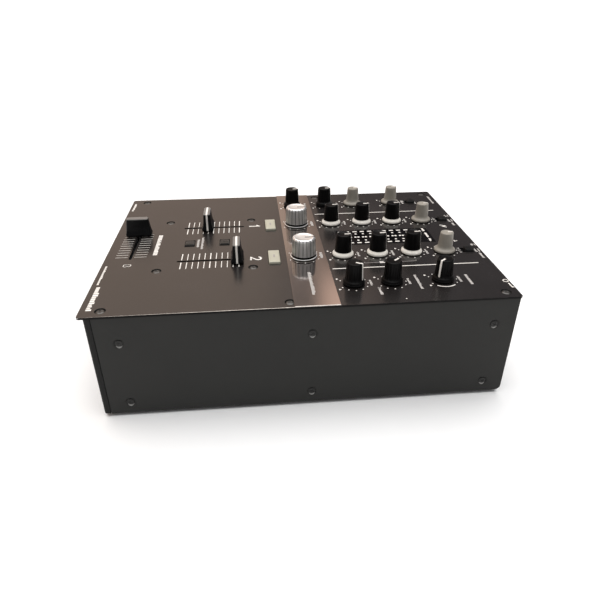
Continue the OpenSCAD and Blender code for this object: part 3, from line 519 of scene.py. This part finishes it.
def filter_knob(body):
    """Wide turned metal cap with a dark neck over a thin bright ring. Its flute bottoms take a dark
    copy of the metal as painted shade, and its top and ring a lighter copy as painted highlight
    with a rougher finish.
    """
    # flute bottoms take the dark groove metal: painted shade
    fluted = (18, 0.3, 4, 5)
    base = STRIP_TOP + KNOB_GAP
    profile = inside(base) + [
        (10.8, base, 3), (11.0, base + 0.12, 3), (11.0, base + 0.5, 3), (10.75, base + 0.62, 3),
        (10.4, base + 0.62, 3), (10.3, base + 0.45, 1), (9.0, base + 0.45, 1),
        (9.0, base + 1.95, 1), (9.5, base + 2.05, 1), (9.8, base + 2.1, 0),
        (9.96, base + 2.3, 0), (9.97, base + 2.8, 0, fluted), (9.85, 6, 0, fluted),
        (9.6, 11, 0, fluted), (9.42, 14.9, 0, fluted), (9.36, 15.7, 0, fluted),
        (9.28, 16.3, 0, fluted), (9.0, 16.9, 3, fluted), (8.55, 17.35, 3, fluted), (8.0, 17.58, 3),
        (7.4, 17.6, 3), (6.9, 17.45, 3), (6.2, 17.28, 3), (3, 17.2, 3), (0, 17.18, 3)]
    line = [(6.2, 17.3), (6.9, 17.47), (7.4, 17.62), (8.0, 17.6), (8.57, 17.37), (9.02, 16.92)]
    return knob_piece(body, profile, line, [M["chrome"], M["plastic"], M["knob"], M["chrome_lit"],
                      M["steel"], M["groove"]], 0, 216, 0.9, 2, 0.05, 4)


for channel in ("ch1", "ch2"):
    filter_knob(channel + "_filter")
    for band in ("low", "mid", "high"):
        eq_knob(f"{channel}_{band}")
    grey_knob(channel + "_trim")
grey_knob("mic_tone")
grey_knob("mic_level")
black_knob("headphone_level", lift=STRIP_TOP)
black_knob("headphone_mix")
black_knob("balance", 33)
black_knob("booth_level", -37)
black_knob("master_level", 138)

# --- Fader caps ---


def fader_cap(node, along_x, striped):
    """Tall cap with a waist and a dished top, on the CAD node's own lever and carriage. Its top and
    the rings under it take a lighter grey: painted highlight.
    """
    x, y = node_middle(node)
    sizes = [(1.0, 21.2, 9.5), (1.25, 21.9, 10.1), (2.4, 22.0, 10.2), (3.1, 21.7, 9.8),
             (4.2, 21.2, 8.7), (6.0, 20.8, 7.7), (8.5, 20.2, 7.0), (12.0, 19.4, 6.4),
             (15.0, 18.7, 6.0), (15.7, 18.5, 5.9), (16.15, 18.2, 5.6), (16.35, 17.8, 5.2),
             (16.4, 17.2, 4.6), (16.36, 15.8, 3.2)]
    bm = bmesh.new()
    sections = []
    for z, length, width in sizes:
        w, d = (length, width) if along_x else (width, length)
        radius = min(1.3, min(w, d) / 2 - 0.3)
        sections.append([at(x + px, y + py, z) for px, py in rounded(w, d, radius)])
    loft(bm, sections, 0, 3, 4)
    if striped:
        side = Vector((0, 1, 0)) if along_x else Vector((1, 0, 0))
        out = Vector((1, 0, 0)) if along_x else Vector((0, 1, 0))
        ends = [(length / 2, z) for z, length, _ in sizes[1:]]
        path = []
        for sign in (1, -1):
            rows = ends if sign > 0 else ends[::-1]
            for i, (r, z) in enumerate(rows):
                before, after = rows[max(i - 1, 0)], rows[min(i + 1, len(rows) - 1)]
                run = Vector((after[0] - before[0], after[1] - before[1]))
                normal = out * abs(run.y) * sign + Vector((0, 0, abs(run.x)))
                path.append((at(x, y, z) + out * sign * r * MM, normal.normalized(), side))
        ribbon_line(bm, path, 1.6, 0.09, 1)
    for part, low, high in islands(node):
        if high.z < DECK.z + 15 * MM:
            absorb(bm, part, 2)
        else:
            part.free()
    body = node + "_slider"
    return piece(node + "_cap", bm, [M["cap"], M["print"], M["steel"], M["cap_top"]], body,
                 (node,))


fader_cap("ch1_fader", True, True)
fader_cap("ch2_fader", True, True)
fader_cap("crossfader", False, False)

# --- Cue buttons, selectors and slide switches ---


def cue_piece(body):
    """Pillowed button with a framed lens, on the CAD node's flange and stem."""
    node = body + "_button"
    x, y = node_middle(node)
    low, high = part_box(node)
    bm = bmesh.new()
    top = (high.z - DECK.z) / MM
    length, width = 22.4, 9.2
    rows = [(-2.0, 0, 0.5), (top - 0.55, 0, 0.5), (top - 0.2, 0.12, 0.6), (top, 0.45, 0.7),
            (top, 0.95, 0.6), (top - 0.12, 1.1, 0.6), (top - 0.12, 1.35, 0.6), (top, 1.5, 0.6),
            (top + 0.02, 2.4, 0.6)]
    loft(bm, [[at(x + px, y + py, z) for px, py in rounded(length - 2 * inset,
         width - 2 * inset, radius)] for z, inset, radius in rows])
    rim = rounded(length + 4, width, 0.4)
    prism(bm, [(x + px, y + py) for px, py in rim], -3.2, -2.0)
    stem = [(x + 2 * math.cos(math.tau * i / 32), y + 2 * math.sin(math.tau * i / 32))
            for i in range(32)]
    prism(bm, stem, (low.z - DECK.z) / MM, -3.2)
    bar = [(x + px, y + py) for px, py in rounded(5.2, 1.3, 0.2, 2)]
    prism(bm, bar, top + 0.015, top + 0.05, 1)
    return piece(node + "_key", bm, [M["cue"], M["print_grey"]], body, (node,))


cue_piece("ch1_cue")
cue_piece("ch2_cue")


def slide_piece(node, body, along_x, finish):
    """Slide cap with three raised ribs across its travel, on its stem."""
    x, y = node_middle(node)
    low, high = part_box(node)
    foot, top = (low.z - DECK.z) / MM, (high.z - DECK.z) / MM
    span = high - low
    length, width = (span.x, span.y) if along_x else (span.y, span.x)
    length, width = length / MM, width / MM
    bm = bmesh.new()

    def oriented(points):
        return [(x + (px if along_x else py), y + (py if along_x else px)) for px, py in points]

    floor = -1.2
    edges = [(floor, 0, 0.5), (top - 0.9, 0, 0.5), (top - 0.55, 0.12, 0.55), (top - 0.45, 0.5, 0.5)]
    loft(bm, [[at(px, py, z) for px, py in oriented(rounded(length - 2 * inset,
         width - 2 * inset, radius))] for z, inset, radius in edges])
    pitch = (length - 1.6) / 4
    for i in range(5):
        middle = (i - 2) * pitch
        rib = [(px + middle, py) for px, py in rounded(0.8, width - 1.2, 0.25, 3)]
        prism(bm, oriented(rib), top - 0.6, top - (0.0 if i == 2 else 0.12))
    prism(bm, oriented(rounded(3, 3, 0.3, 2)), foot, floor)
    return piece(node + "_cap", bm, [M[finish]], body, (node,))


for name in ("mic_selector", "ch1_selector", "ch2_selector"):
    slide_piece(name, name + "_cap", False, "plastic")
for name in ("reverse_switch", "curve_switch"):
    slide_piece(name, name + "_cap", True, "slide")

# --- Printed marks ---

prints = bmesh.new()


def outline_at(points, z, index=0):
    """A painted outline, as thick as the print."""
    prism(prints, points, z, z + PRINT_T, index)


def bar(x0, x1, y0, y1, z=0.0, index=0):
    """A plain painted bar."""
    outline_at([(x0, y0), (x1, y0), (x1, y1), (x0, y1)], z, index)


def stroke(points, width, z=0.0, index=0):
    """A painted line of one width through points."""
    vectors = [Vector(p) for p in points]
    left, right = [], []
    for i, p in enumerate(vectors):
        before = (p - vectors[i - 1]).normalized() if i else None
        after = (vectors[i + 1] - p).normalized() if i + 1 < len(vectors) else None
        run = ((before or after) + (after or before)).normalized()
        across = Vector((-run.y, run.x))
        scale = width / 2 / max(0.5, abs(across.dot(Vector((-(after or before).y,
                                                            (after or before).x)))))
        left.append(p + across * scale)
        right.append(p - across * scale)
    for i in range(len(vectors) - 1):
        outline_at([right[i], right[i + 1], left[i + 1], left[i]], z, index)


def arc(x, y, r, start, stop, width, z=0.0, index=0, steps=None):
    """A painted arc; angles are clockwise from the rear, in degrees."""
    count = steps or max(4, int(abs(stop - start) / 9))
    angles = [math.radians(start + (stop - start) * i / count) for i in range(count + 1)]
    stroke([(x + r * math.sin(a), y + r * math.cos(a)) for a in angles], width, z, index)


def dot(x, y, r, z=0.0, index=0):
    """A painted dot."""
    outline_at([(x + r * math.cos(math.tau * i / 12), y + r * math.sin(math.tau * i / 12))
                for i in range(12)], z, index)


def dashes(x0, x1, y0, y1, z=0.0, index=2, low=0.8, high=1.7, space=0.38):
    """A row of short plain dashes in place of a word."""
    x = x0
    while x < x1 - 0.4:
        w = min(rng.uniform(low, high), x1 - x)
        cut = rng.choice((0, 0, 0.18, 0.3)) * (y1 - y0)
        bar(x, x + w, y0, y1 - cut, z, index)
        x += w + space


def knob_marks(x, y, z=0.0, radius=KNOB_SCALE_R, word=True, ends=True, dots=True):
    """The dots, end marks and word bar around a knob."""
    if dots:
        for i in range(TICKS):
            a = math.radians(-150 + 30 * i)
            dot(x + radius * math.sin(a), y + radius * math.cos(a), 0.55, z)
    if ends:
        for side in (-1, 1):
            bar(x + side * 8.2 - 0.9, x + side * 8.2 + 0.9, y - radius - 1.5, y - radius - 0.5, z)
            bar(x + side * 8.2 - 0.3, x + side * 8.2 + 0.3, y - radius - 0.5, y - radius + 0.2, z)
    if word:
        dashes(x - 4.4, x + 4.4, y + 12.2, y + 14.0, z)


# Channel faders, crossfader and their numerals
for cx in (-CHANNEL_X, CHANNEL_X):
    for i in range(TICKS):
        y = LEVER_FOOT_Y + FADER_PITCH * i
        thick = 0.40 if i in (0, 5, 10) else 0.30
        for side in (-1, 1):
            x0, x1 = sorted((cx + side * 2.2, cx + side * 13.7))
            bar(x0, x1, y - thick, y + thick)
for i in range(TICKS):
    x = CROSS_PITCH * (i - TICKS // 2)
    bar(x - 0.2, x + 0.2, -147.9, -138.2)
    bar(x - 0.2, x + 0.2, -132.8, -122.9)
stroke([(-36.6, -31.4), (-34.3, -29.2), (-34.3, -38.2)], 1.6)
stroke([(31.8, -31.4), (32.6, -29.8), (34.5, -29.2), (36.4, -29.9), (37.0, -31.6), (36.2, -33.6),
        (31.9, -37.5), (37.4, -37.5)], 1.45)
stroke([(36.7, -138.8), (36.7, -133.0), (39.2, -133.0), (40.2, -134.3), (39.2, -135.7),
        (36.8, -135.7)], 0.45)
stroke([(36.8, -135.7), (39.5, -135.7), (40.6, -137.2), (39.5, -138.7), (36.7, -138.7)], 0.45)
stroke([(-40.2, -138.3), (-38.5, -133.7), (-36.8, -138.3)], 0.75)
stroke([(-39.5, -136.7), (-37.5, -136.7)], 0.6)

# Word bars of the front half
dashes(-20.5, 20.5, -118.3, -114.8, 0, 0, 1.3, 2.4, 0.5)
dashes(72.6, 107, -151.6, -147.8, 0, 0, 1.5, 2.8, 0.55)
dashes(38, 69.5, -152.5, -150.7, 0, 0, 0.8, 1.5, 0.4)
dashes(-104.5, -84, -153.3, -151.2, 0, 0, 0.9, 1.6, 0.4)
dashes(-12, 12, -79.7, -77.7)
dashes(-8, 8, -83.4, -81.4)

# Knob marks, the lines beside the channels and the bracket
for body in AXIS:
    if body == "rocker":
        continue
    kx, ky = spot(body)
    on_strip = ky < 20
    if "filter" in body:
        knob_marks(kx, ky, STRIP_TOP, 13.2, word=False, ends=False)
    elif body == "master_level":
        knob_marks(kx, ky, dots=False)
        arc(kx, ky, 11, 52, 128, 1.0)
        for a in (-150, -120, -90, -60, -30, 0, 30, 150):
            dot(kx + KNOB_SCALE_R * math.sin(math.radians(a)),
                ky + KNOB_SCALE_R * math.cos(math.radians(a)), 0.5)
    else:
        knob_marks(kx, ky, STRIP_TOP if on_strip else 0.0)
for side in (-1, 1):
    bar(side * 59 - 0.5, side * 59 + 0.5, 26, 144.5)
bar(50.8, 51.3, 53, 96, 0, 1)
bar(49.2, 51.3, 95.5, 96, 0, 1)
bar(49.2, 51.3, 53, 53.5, 0, 1)
dashes(49.6, 52.6, 65.6, 69.6, 0, 0, 1.2, 1.6, 0.3)
dashes(75, 97, 86.3, 88.3)
dashes(78, 93.6, 125.4, 127.4)
dashes(92, 103, 54.8, 56.9)
dot(110, 71.7, 0.5)
dashes(64, 99, 5.6, 8.2, STRIP_TOP, 2)
dashes(29, 40, 19.2, 21.4, STRIP_TOP)
dashes(-40, -29, 19.2, 21.4, STRIP_TOP)

# Marks of the selectors and along the rear edge
for sx in (-CHANNEL_X, CHANNEL_X):
    dashes(sx - 3.8, sx + 3.8, 136.6, 138.0)
dashes(-88.2, -85.8, 120.5, 121.8)
dashes(-89, -79, 131.8, 133.4)
for x0, x1, y in ((23, 26, 151.2), (33, 39, 150.2), (41, 51, 151.6), (-45, -41, 150.4),
                  (-34, -28, 150.2), (-25, -19, 151.2), (-99, -78, 150.0)):
    dashes(x0, x1, y, y + 2.0)
for x0, x1, y in ((33, 39, 153.2), (-34, -28, 153.2), (-45, -41, 153.4), (23, 26, 154.2)):
    dashes(x0, x1, y, y + 1.3)
stroke([(-21, 138.6), (-18.6, 143.4), (-17.8, 140.2), (-15.2, 143.6)], 1.1)
stroke([(13.8, 139.9), (16.4, 139.9), (15.2, 142.6)], 0.8)
arc(90.6, 153.2, 1.9, 0, 360, 0.7, steps=24)
stroke([(94.4, 153.7), (100.8, 154.0), (100.6, 155.4)], 1.0)

# Marks on the meter window: lamps in five rows and two small bars behind them
LAMP_START = (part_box("meter_lamps")[0].y - DECK.y) / MM + 1.9
LAMP_END = (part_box("meter_lamps")[1].y - DECK.y) / MM - 1.9
for i in range(10):
    y = LAMP_START + (LAMP_END - LAMP_START) * i / 9
    for side in (-1, 1):
        bar(side * 12 - 0.85, side * 12 + 0.85, y - 1.9, y + 1.9, WINDOW_TOP)
        bar(side * 6.9 - 0.85, side * 6.9 + 0.85, y - 0.9, y + 0.9, WINDOW_TOP)
        bar(-1.0, 1.0, y + side * 1.3 - 0.9, y + side * 1.3 + 0.9, WINDOW_TOP)
dashes(-4, 6, 118.6, 120.6, WINDOW_TOP, 0, 1.6, 2.6, 0.4)
dashes(9, 14.4, 118.6, 120.6, WINDOW_TOP, 0, 1.6, 2.6, 0.4)
dashes(-14, -8, 118.6, 120.6, WINDOW_TOP, 0, 1.6, 2.6, 0.4)
piece("printed_marks", prints, [M["print"], M["print_grey"], M["print_soft"]], "root")

# --- Screws ---


def screw_head(bm, middle, out, radius, height, turn):
    """Domed cross-head screw with a bevelled rim, its recess pressed into the crown."""
    up = out.normalized()
    u = up.orthogonal().normalized()
    v = up.cross(u)
    rings = [0, 0.12, 0.2, 0.28, 0.36, 0.44, 0.52, 0.6, 0.7, 0.82, 0.92, 1.0]
    spokes = 48
    rows = []
    for share in rings:
        ring = []
        for i in range(spokes if share else 1):
            a = math.tau * i / spokes
            px, py = share * math.cos(a), share * math.sin(a)
            z = height * (1 - 0.45 * share ** 2 - 0.35 * share ** 8)
            arm = min(abs(px), abs(py))
            reach = max(abs(px), abs(py))
            if reach < 0.56:
                z -= height * 0.75 * max(0, 1 - max(0, arm - 0.09) / 0.07) * (1 - 0.5 * reach)
            c, s = math.cos(turn), math.sin(turn)
            ring.append(bm.verts.new(middle + (u * (px * c - py * s) + v * (px * s + py * c))
                                     * radius * MM + up * z * MM))
        rows.append(ring)
    rows.append([bm.verts.new(w.co - up * (height * 0.2 + 0.3) * MM) for w in rows[-1]])
    for inner, outer in zip(rows, rows[1:]):
        for i in range(spokes):
            j = (i + 1) % spokes
            corners = [inner[i % len(inner)], outer[i], outer[j], inner[j % len(inner)]]
            bm.faces.new(list(dict.fromkeys(corners)))
    bm.faces.new(rows[-1][::-1])


def crescent_under(bm, middle, out, inner, outer, face, depth):
    """Painted glint: a bright crescent on the lower side of a screw's dimple in a side panel, where
    the dimple faces the light.
    """
    flat = Vector((math.copysign(face, middle.x), middle.y, middle.z))
    count, step = 21, 5.2
    rows = []
    for i in range(count):
        a = math.radians(-90 + step * (i - count // 2))
        spoke = Vector((0, math.cos(a), math.sin(a)))
        swell = math.sin(math.pi * (i + 0.5) / count)
        far = inner + (outer - inner) * swell
        rows.append([bm.verts.new(flat + spoke * r * MM - out * d * MM) for r, d in (
            (inner, depth), (far, depth - (depth - 0.2) * swell), (inner + 0.1, depth + 0.2))])
    for first, second in zip(rows, rows[1:]):
        for i in range(3):
            j = (i + 1) % 3
            bm.faces.new((first[i], first[j], second[j], second[i])).material_index = 1
    for end in (rows[0], rows[-1]):
        bm.faces.new(end).material_index = 1


def screws_of(node, out_of, radius, height, sink, crescent=None):
    """Detailed heads in place of a node's plain ones, on the node's own shanks.
    A crescent is the painted glint under a head: its two radii, the panel's face and its depth."""
    bm = bmesh.new()
    for part, low, high in islands(node):
        middle = (low + high) / 2
        out = out_of(middle)
        reach = (high - low).dot(Vector([abs(c) for c in out])) / 2
        seat = middle + out * (reach - sink * MM)
        screw_head(bm, seat, out, radius, height, rng.uniform(0, math.pi / 2))
        part.free()
        u = out.orthogonal().normalized()
        v = out.cross(u)
        foot = middle - out * reach
        if crescent:
            crescent_under(bm, middle, out, *crescent)
        loft(bm, [[p + (u * math.cos(math.tau * i / 24) + v * math.sin(math.tau * i / 24))
             * SHANK_R * MM for i in range(24)] for p in (foot, seat - out * 0.2 * MM)])
    return bm


piece("deck_screw_heads", screws_of("deck_screws", lambda m: Vector((0, 0, 1)), 3.05, 0.72, 0.7),
      [M["screw"]], "root", ("deck_screws",))
SIDE_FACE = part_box("side_panel_right")[1].x
# the ring finish paints a glint on the lower side of each screw's dimple
piece("side_screw_heads", screws_of("side_screws", lambda m: Vector((1 if m.x > 0 else -1, 0, 0)),
      2.72, 0.7, 0.7, (2.85, 3.7, SIDE_FACE, 0.95)),
      [M["screw_dark"], M["ring"]], "root", ("side_screws",))

# --- Sockets, jacks and the ground post ---

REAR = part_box("rear_panel")[1].y
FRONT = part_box("front_panel")[0].y


def turned(bm, foot, out, profile, segments=40, knurl=0.0):
    """Turns (radius, reach, material) rows about an axis that leaves a panel at foot."""
    u = Vector((1, 0, 0))
    v = out.cross(u)
    rings = []
    for r, reach, _ in profile:
        ring = []
        for i in range(segments if r else 1):
            a = math.tau * i / segments
            step = knurl if i % 2 else 0.0
            ring.append(bm.verts.new(foot + out * reach * MM + (u * math.cos(a) + v * math.sin(a))
                                     * max(0, r - step) * MM))
        rings.append(ring)
    for low, high, row in zip(rings, rings[1:], profile[1:]):
        for i in range(segments):
            j = (i + 1) % segments
            bm.faces.new(corners_between(low, high, i, j)).material_index = row[2]


def block_at(bm, low, high, index):
    """A plain box between two corners in the row frame."""
    corners = [bm.verts.new((x, y, z)) for x in (low.x, high.x) for y in (low.y, high.y)
               for z in (low.z, high.z)]
    for quad in ((0, 1, 3, 2), (4, 6, 7, 5), (0, 4, 5, 1), (2, 3, 7, 6), (0, 2, 6, 4),
                 (1, 5, 7, 3)):
        bm.faces.new([corners[i] for i in quad]).material_index = index


def on_panel(low, high, out):
    """The point of a panel's face that a fitting's axis leaves."""
    return Vector(((low.x + high.x) / 2, REAR if out.y > 0 else FRONT, (low.z + high.z) / 2))


OUTWARD = Vector((0, 1, 0))
bm = bmesh.new()
for part, low, high in islands("phono_sockets"):
    part.free()
    foot = on_panel(low, high, OUTWARD)
    tip = (high.y - REAR) / MM
    ring = 3 if foot.z < DECK.z - 46 * MM else 2
    turned(bm, foot, OUTWARD, [
        (0, tip - 9, 1), (1.6, tip - 9, 1), (1.6, tip - 0.6, 1), (1.9, tip - 0.5, 0),
        (3.0, tip - 0.5, ring), (3.2, tip - 0.3, ring), (3.3, tip, 0), (3.9, tip, 0),
        (4.15, tip - 0.25, 0), (4.15, tip - 1.6, 0), (3.95, tip - 1.8, 0), (3.95, 3.0, 0),
        (4.15, 2.8, 0), (4.15, 2.2, 0), (4.9, 2.1, ring), (5.0, 1.9, ring), (5.0, 1.0, ring),
        (5.4, 1.0, 0), (5.5, 0.85, 0), (5.5, -1.2, 0)])
    block_at(bm, Vector((low.x, low.y, low.z)), Vector((high.x, REAR - 1.25 * MM, high.z)), 1)
piece("phono_barrels", bm, [M["contact"], M["plastic"], M["white"], M["red"]], "root",
      ("phono_sockets",))

for node, out in (("output_jacks", OUTWARD), ("headphone_jacks", -OUTWARD)):
    bm = bmesh.new()
    for part, low, high in islands(node):
        part.free()
        turned(bm, on_panel(low, high, out), out, [
            (0, -18, 0), (3.2, -18, 0), (3.2, 1.5, 0), (3.35, 1.9, 1), (3.5, 2.0, 1), (4.4, 2.0, 1),
            (4.55, 1.85, 1), (4.6, 1.6, 0), (6.4, 1.6, 0), (6.9, 1.35, 0), (7.0, 1.0, 0),
            (7.0, 0, 0), (6.0, 0, 0), (6.0, -1.2, 0)])
        inner = on_panel(low, high, out).y - out.y * 1.25 * MM
        edge = low.y if out.y > 0 else high.y
        block_at(bm, Vector((low.x, min(inner, edge), low.z)),
                 Vector((high.x, max(inner, edge), high.z)), 0)
    piece(node + "_bushed", bm, [M["plastic"], M["steel"]], "root", (node,))

bm = bmesh.new()
low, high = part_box("ground_post")
turned(bm, on_panel(low, high, OUTWARD), OUTWARD, [
    (0, (low.y - REAR) / MM, 0), (1.5, (low.y - REAR) / MM, 0), (1.5, 0.1, 0), (4.2, 0.1, 0),
    (4.5, 0.4, 0), (4.5, 4.5, 0), (4.2, 4.85, 0), (3.4, 5.0, 0), (1.6, 4.9, 0), (0, 4.9, 0)],
    48, 0.22)
piece("ground_post_knurled", bm, [M["steel"]], "root", ("ground_post",))

labels = bmesh.new()


def label(x, z, length, front=False):
    """A row of short plain dashes on the rear or front panel, in the deck's frame."""
    face = FRONT if front else REAR
    left, right = x - length / 2, x + length / 2
    while left < right - 0.4:
        w = min(rng.uniform(0.9, 1.8), right - left)
        low = Vector((left * MM, face - PRINT_T * MM, DECK.z + (z - 0.75) * MM))
        high = Vector(((left + w) * MM, face + PRINT_T * MM, DECK.z + (z + 0.75) * MM))
        block_at(labels, low, high, 0)
        left += w + 0.4


for i in range(5):
    label(-6 + 15 * i, -25.5, 9)
    label(-6 + 15 * i, -49.5, 9)
for x, z, length in ((24, -19.5, 44), (72, -30, 13), (94, -30, 13), (68, -51.5, 8),
                     (-52, -32, 11), (-86, -32, 22), (-52, -60, 7)):
    label(x, z, length)
label(-88, -35, 14, True)
label(-60, -35, 14, True)
piece("panel_labels", labels, [M["print_soft"]], "root")

# --- Case, with its folded edges rounded ---

# the deck's side edges and screw dish walls take a darker finish: painted shade
softened("top_panel", "top_panel_sheet", M["deck"], 0.2, 2, M["deck_painted_shade"])
softened("mirror_strip", "mirror_strip_sheet", M["mirror"], 0.15)

# Bare metal where hands have rubbed the paint off both top edges, wider towards the strip, and the
# strip's ends; these bright strips also stand in for the highlight along the edges, so they are
# part wear and part painted highlight
wear_and_highlight = bmesh.new()
strip_low, strip_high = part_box("mirror_strip")
front_end, strip_end = (TOP_LOW.y - DECK.y) / MM + 1, (strip_low.y - DECK.y) / MM
steps = 60
for sign in (-1, 1):
    rows = []
    for i in range(steps + 1):
        share = i / steps
        y = front_end + (strip_end - front_end) * share
        w = (0.04 + 0.62 * share) * rng.uniform(0.75, 1.0)
        edge = TOP_HIGH.x / MM - 0.01
        rows.append([wear_and_highlight.verts.new(at(sign * x, y, z)) for x, z in (
            (edge - w - 0.15, 0.012), (edge - 0.15, 0.012), (edge, -0.14), (edge, -0.19),
            (edge - 0.3, -0.3))])
    rows.append([wear_and_highlight.verts.new(at(sign * x, strip_end + 0.5, z)) for x, z in (
        (edge - 0.8, 0.012), (edge - 0.15, 0.012), (edge, -0.14), (edge, -0.19),
        (edge - 0.3, -0.3))])
    for low_row, high_row in zip(rows, rows[1:]):
        for i in range(5):
            j = (i + 1) % 5
            wear_and_highlight.faces.new((low_row[i], low_row[j], high_row[j], high_row[i]))
    wear_and_highlight.faces.new(rows[0])
    wear_and_highlight.faces.new(rows[-1])
    outer = strip_high.x / MM - 0.01
    y0, y1 = strip_end + 0.2, (strip_high.y - DECK.y) / MM - 0.2
    lip = [wear_and_highlight.verts.new(at(sign * x, y, STRIP_TOP + z)) for y in (y0, y1) for x, z in (
        (outer - 0.75, 0.012), (outer - 0.1, 0.012), (outer, -0.09), (outer - 0.2, -0.2))]
    for i in range(4):
        j = (i + 1) % 4
        wear_and_highlight.faces.new((lip[i], lip[j], lip[j + 4], lip[i + 4]))
    wear_and_highlight.faces.new(lip[:4])
    wear_and_highlight.faces.new(lip[4:])
piece("edge_wear_and_highlights", wear_and_highlight, [M["edge"]], "root")

softened("side_panel_right", "side_panel_right_sheet", M["case"], 0.3)
softened("side_panel_left", "side_panel_left_sheet", M["case"], 0.3)
softened("front_panel", "front_panel_sheet", M["front"], 0.3)
softened("meter_window", "meter_window_lens", M["smoke"], 0.2)
softened("rubber_feet", "rubber_feet_moulded", M["rubber"], 0.6, 3)

FINISHES = {
    "chassis_tray": "tray", "rear_panel": "case", "meter_lamps": "lamp", "control_board": "board",
    "fader_board": "board", "main_board": "board", "power_board": "board",
    "transformer": "core", "rotary_pots": "pot", "pot_nuts": "steel",
    "channel_fader_units": "tray", "crossfader_unit": "tray", "cue_switches": "plastic",
    "slide_switch_bodies": "plastic", "board_standoffs": "contact", "ribbon_cables": "ribbon",
    "foot_screws": "steel", "power_inlet": "plastic", "power_rocker": "plastic"}
for node, finish in FINISHES.items():
    materials = nodes[node].data.materials
    for i in range(len(materials)):
        materials[i] = M[finish]

# --- Stage, light and camera ---

floor = bpy.data.objects.new("floor", bpy.data.meshes.new("floor"))
bm = bmesh.new()
bmesh.ops.create_grid(bm, x_segments=1, y_segments=1, size=40)
bm.to_mesh(floor.data)
bm.free()
floor.data.materials.append(finish_of("floor_paper", (0.9, 0.9, 0.9), 0.9, tone=0.01, grain=40,
                                      grain_depth=0.01, smudge=2, specular=0.1))
bpy.context.scene.collection.objects.link(floor)

world = bpy.data.worlds.new("studio")
bpy.context.scene.world = world
world.use_nodes = True
wt = world.node_tree
direction = wt.nodes.new("ShaderNodeTexCoord").outputs["Generated"]
parts = wt.nodes.new("ShaderNodeSeparateXYZ")
wt.links.new(direction, parts.inputs["Vector"])


def world_range(value, from_low, from_high, low, high):
    node = wt.nodes.new("ShaderNodeMapRange")
    node.interpolation_type = "SMOOTHSTEP"
    for key, number in (("From Min", from_low), ("From Max", from_high), ("To Min", low),
                        ("To Max", high)):
        node.inputs[key].default_value = number
    wt.links.new(value, node.inputs["Value"])
    return node.outputs["Result"]


def world_product(a, b):
    node = wt.nodes.new("ShaderNodeMath")
    node.operation = "MULTIPLY"
    wt.links.new(a, node.inputs[0])
    wt.links.new(b, node.inputs[1])
    return node.outputs["Value"]


def world_layer(under, over, factor):
    """One sky colour laid over another by a factor."""
    node = wt.nodes.new("ShaderNodeMix")
    node.data_type = "RGBA"
    for key, colour in (("A", under), ("B", over)):
        if isinstance(colour, tuple):
            node.inputs[key].default_value = (*colour, 1)
        else:
            wt.links.new(colour, node.inputs[key])
    wt.links.new(factor, node.inputs["Factor"])
    return node.outputs["Result"]


# A warm room beyond the left side, a darker one beyond the rear, a bright patch and a dark
# one between them, a dim room on the right and a soft white ceiling
east, north, up = (parts.outputs[k] for k in ("X", "Y", "Z"))
warm = world_layer((0.56, 0.43, 0.36), (1.0, 0.78, 0.63), world_range(up, 0.26, 0.50, 0, 1))
sky = world_layer(warm, (0.10, 0.09, 0.095), world_range(north, 0.04, 0.19, 0, 1))
patch = world_product(world_product(world_range(north, 0.10, 0.15, 0, 1),
                                    world_range(north, 0.17, 0.25, 1, 0)),
                      world_product(world_range(up, 0.42, 0.50, 0, 1),
                                    world_range(up, 0.58, 0.66, 1, 0)))
sky = world_layer(sky, (1.25, 0.92, 0.76), patch)
shadow = world_product(world_product(world_range(north, 0.03, 0.06, 0, 1),
                                     world_range(north, 0.10, 0.125, 1, 0)),
                       world_product(world_range(up, 0.40, 0.46, 0, 1),
                                     world_range(up, 0.56, 0.60, 1, 0)))
sky = world_layer(sky, (0.27, 0.235, 0.22), shadow)
sky = world_layer(sky, (0.30, 0.30, 0.30), world_range(east, -0.1, 0.2, 0, 1))
sky = world_layer(sky, (0.80, 0.80, 0.80), world_range(up, 0.70, 0.88, 0, 1))
wt.links.new(sky, wt.nodes["Background"].inputs["Color"])

# Behind the floor the studio is as white as the floor itself
wall = wt.nodes.new("ShaderNodeBackground")
wall.inputs["Color"].default_value = (1, 1, 1, 1)
seen = wt.nodes.new("ShaderNodeMixShader")
wt.links.new(wt.nodes.new("ShaderNodeLightPath").outputs["Is Camera Ray"], seen.inputs["Fac"])
wt.links.new(wt.nodes["Background"].outputs["Background"], seen.inputs[1])
wt.links.new(wall.outputs["Background"], seen.inputs[2])
wt.links.new(seen.outputs["Shader"], wt.nodes["World Output"].inputs["Surface"])

sun_data = bpy.data.lights.new("soft_sun", "SUN")
sun_data.energy = 2.9
sun_data.angle = math.radians(76)
sun = bpy.data.objects.new("soft_sun", sun_data)
sun.rotation_euler = Vector((0.12, -0.05, -1)).to_track_quat("-Z", "Y").to_euler()
bpy.context.scene.collection.objects.link(sun)


camera_data = bpy.data.cameras.new("camera")
camera = bpy.data.objects.new("camera", camera_data)
bpy.context.scene.collection.objects.link(camera)
camera_data.sensor_width = 36
camera_data.lens = 31.93
camera_data.clip_end = 200
camera.location = (0.4287, -0.0387, 0.2786)
aim = Vector((-0.85981, 0.08151, -0.50406))
camera.rotation_euler = aim.to_track_quat("-Z", "Y").to_euler()
bpy.context.scene.camera = camera
bpy.context.scene.view_settings.view_transform = "Standard"
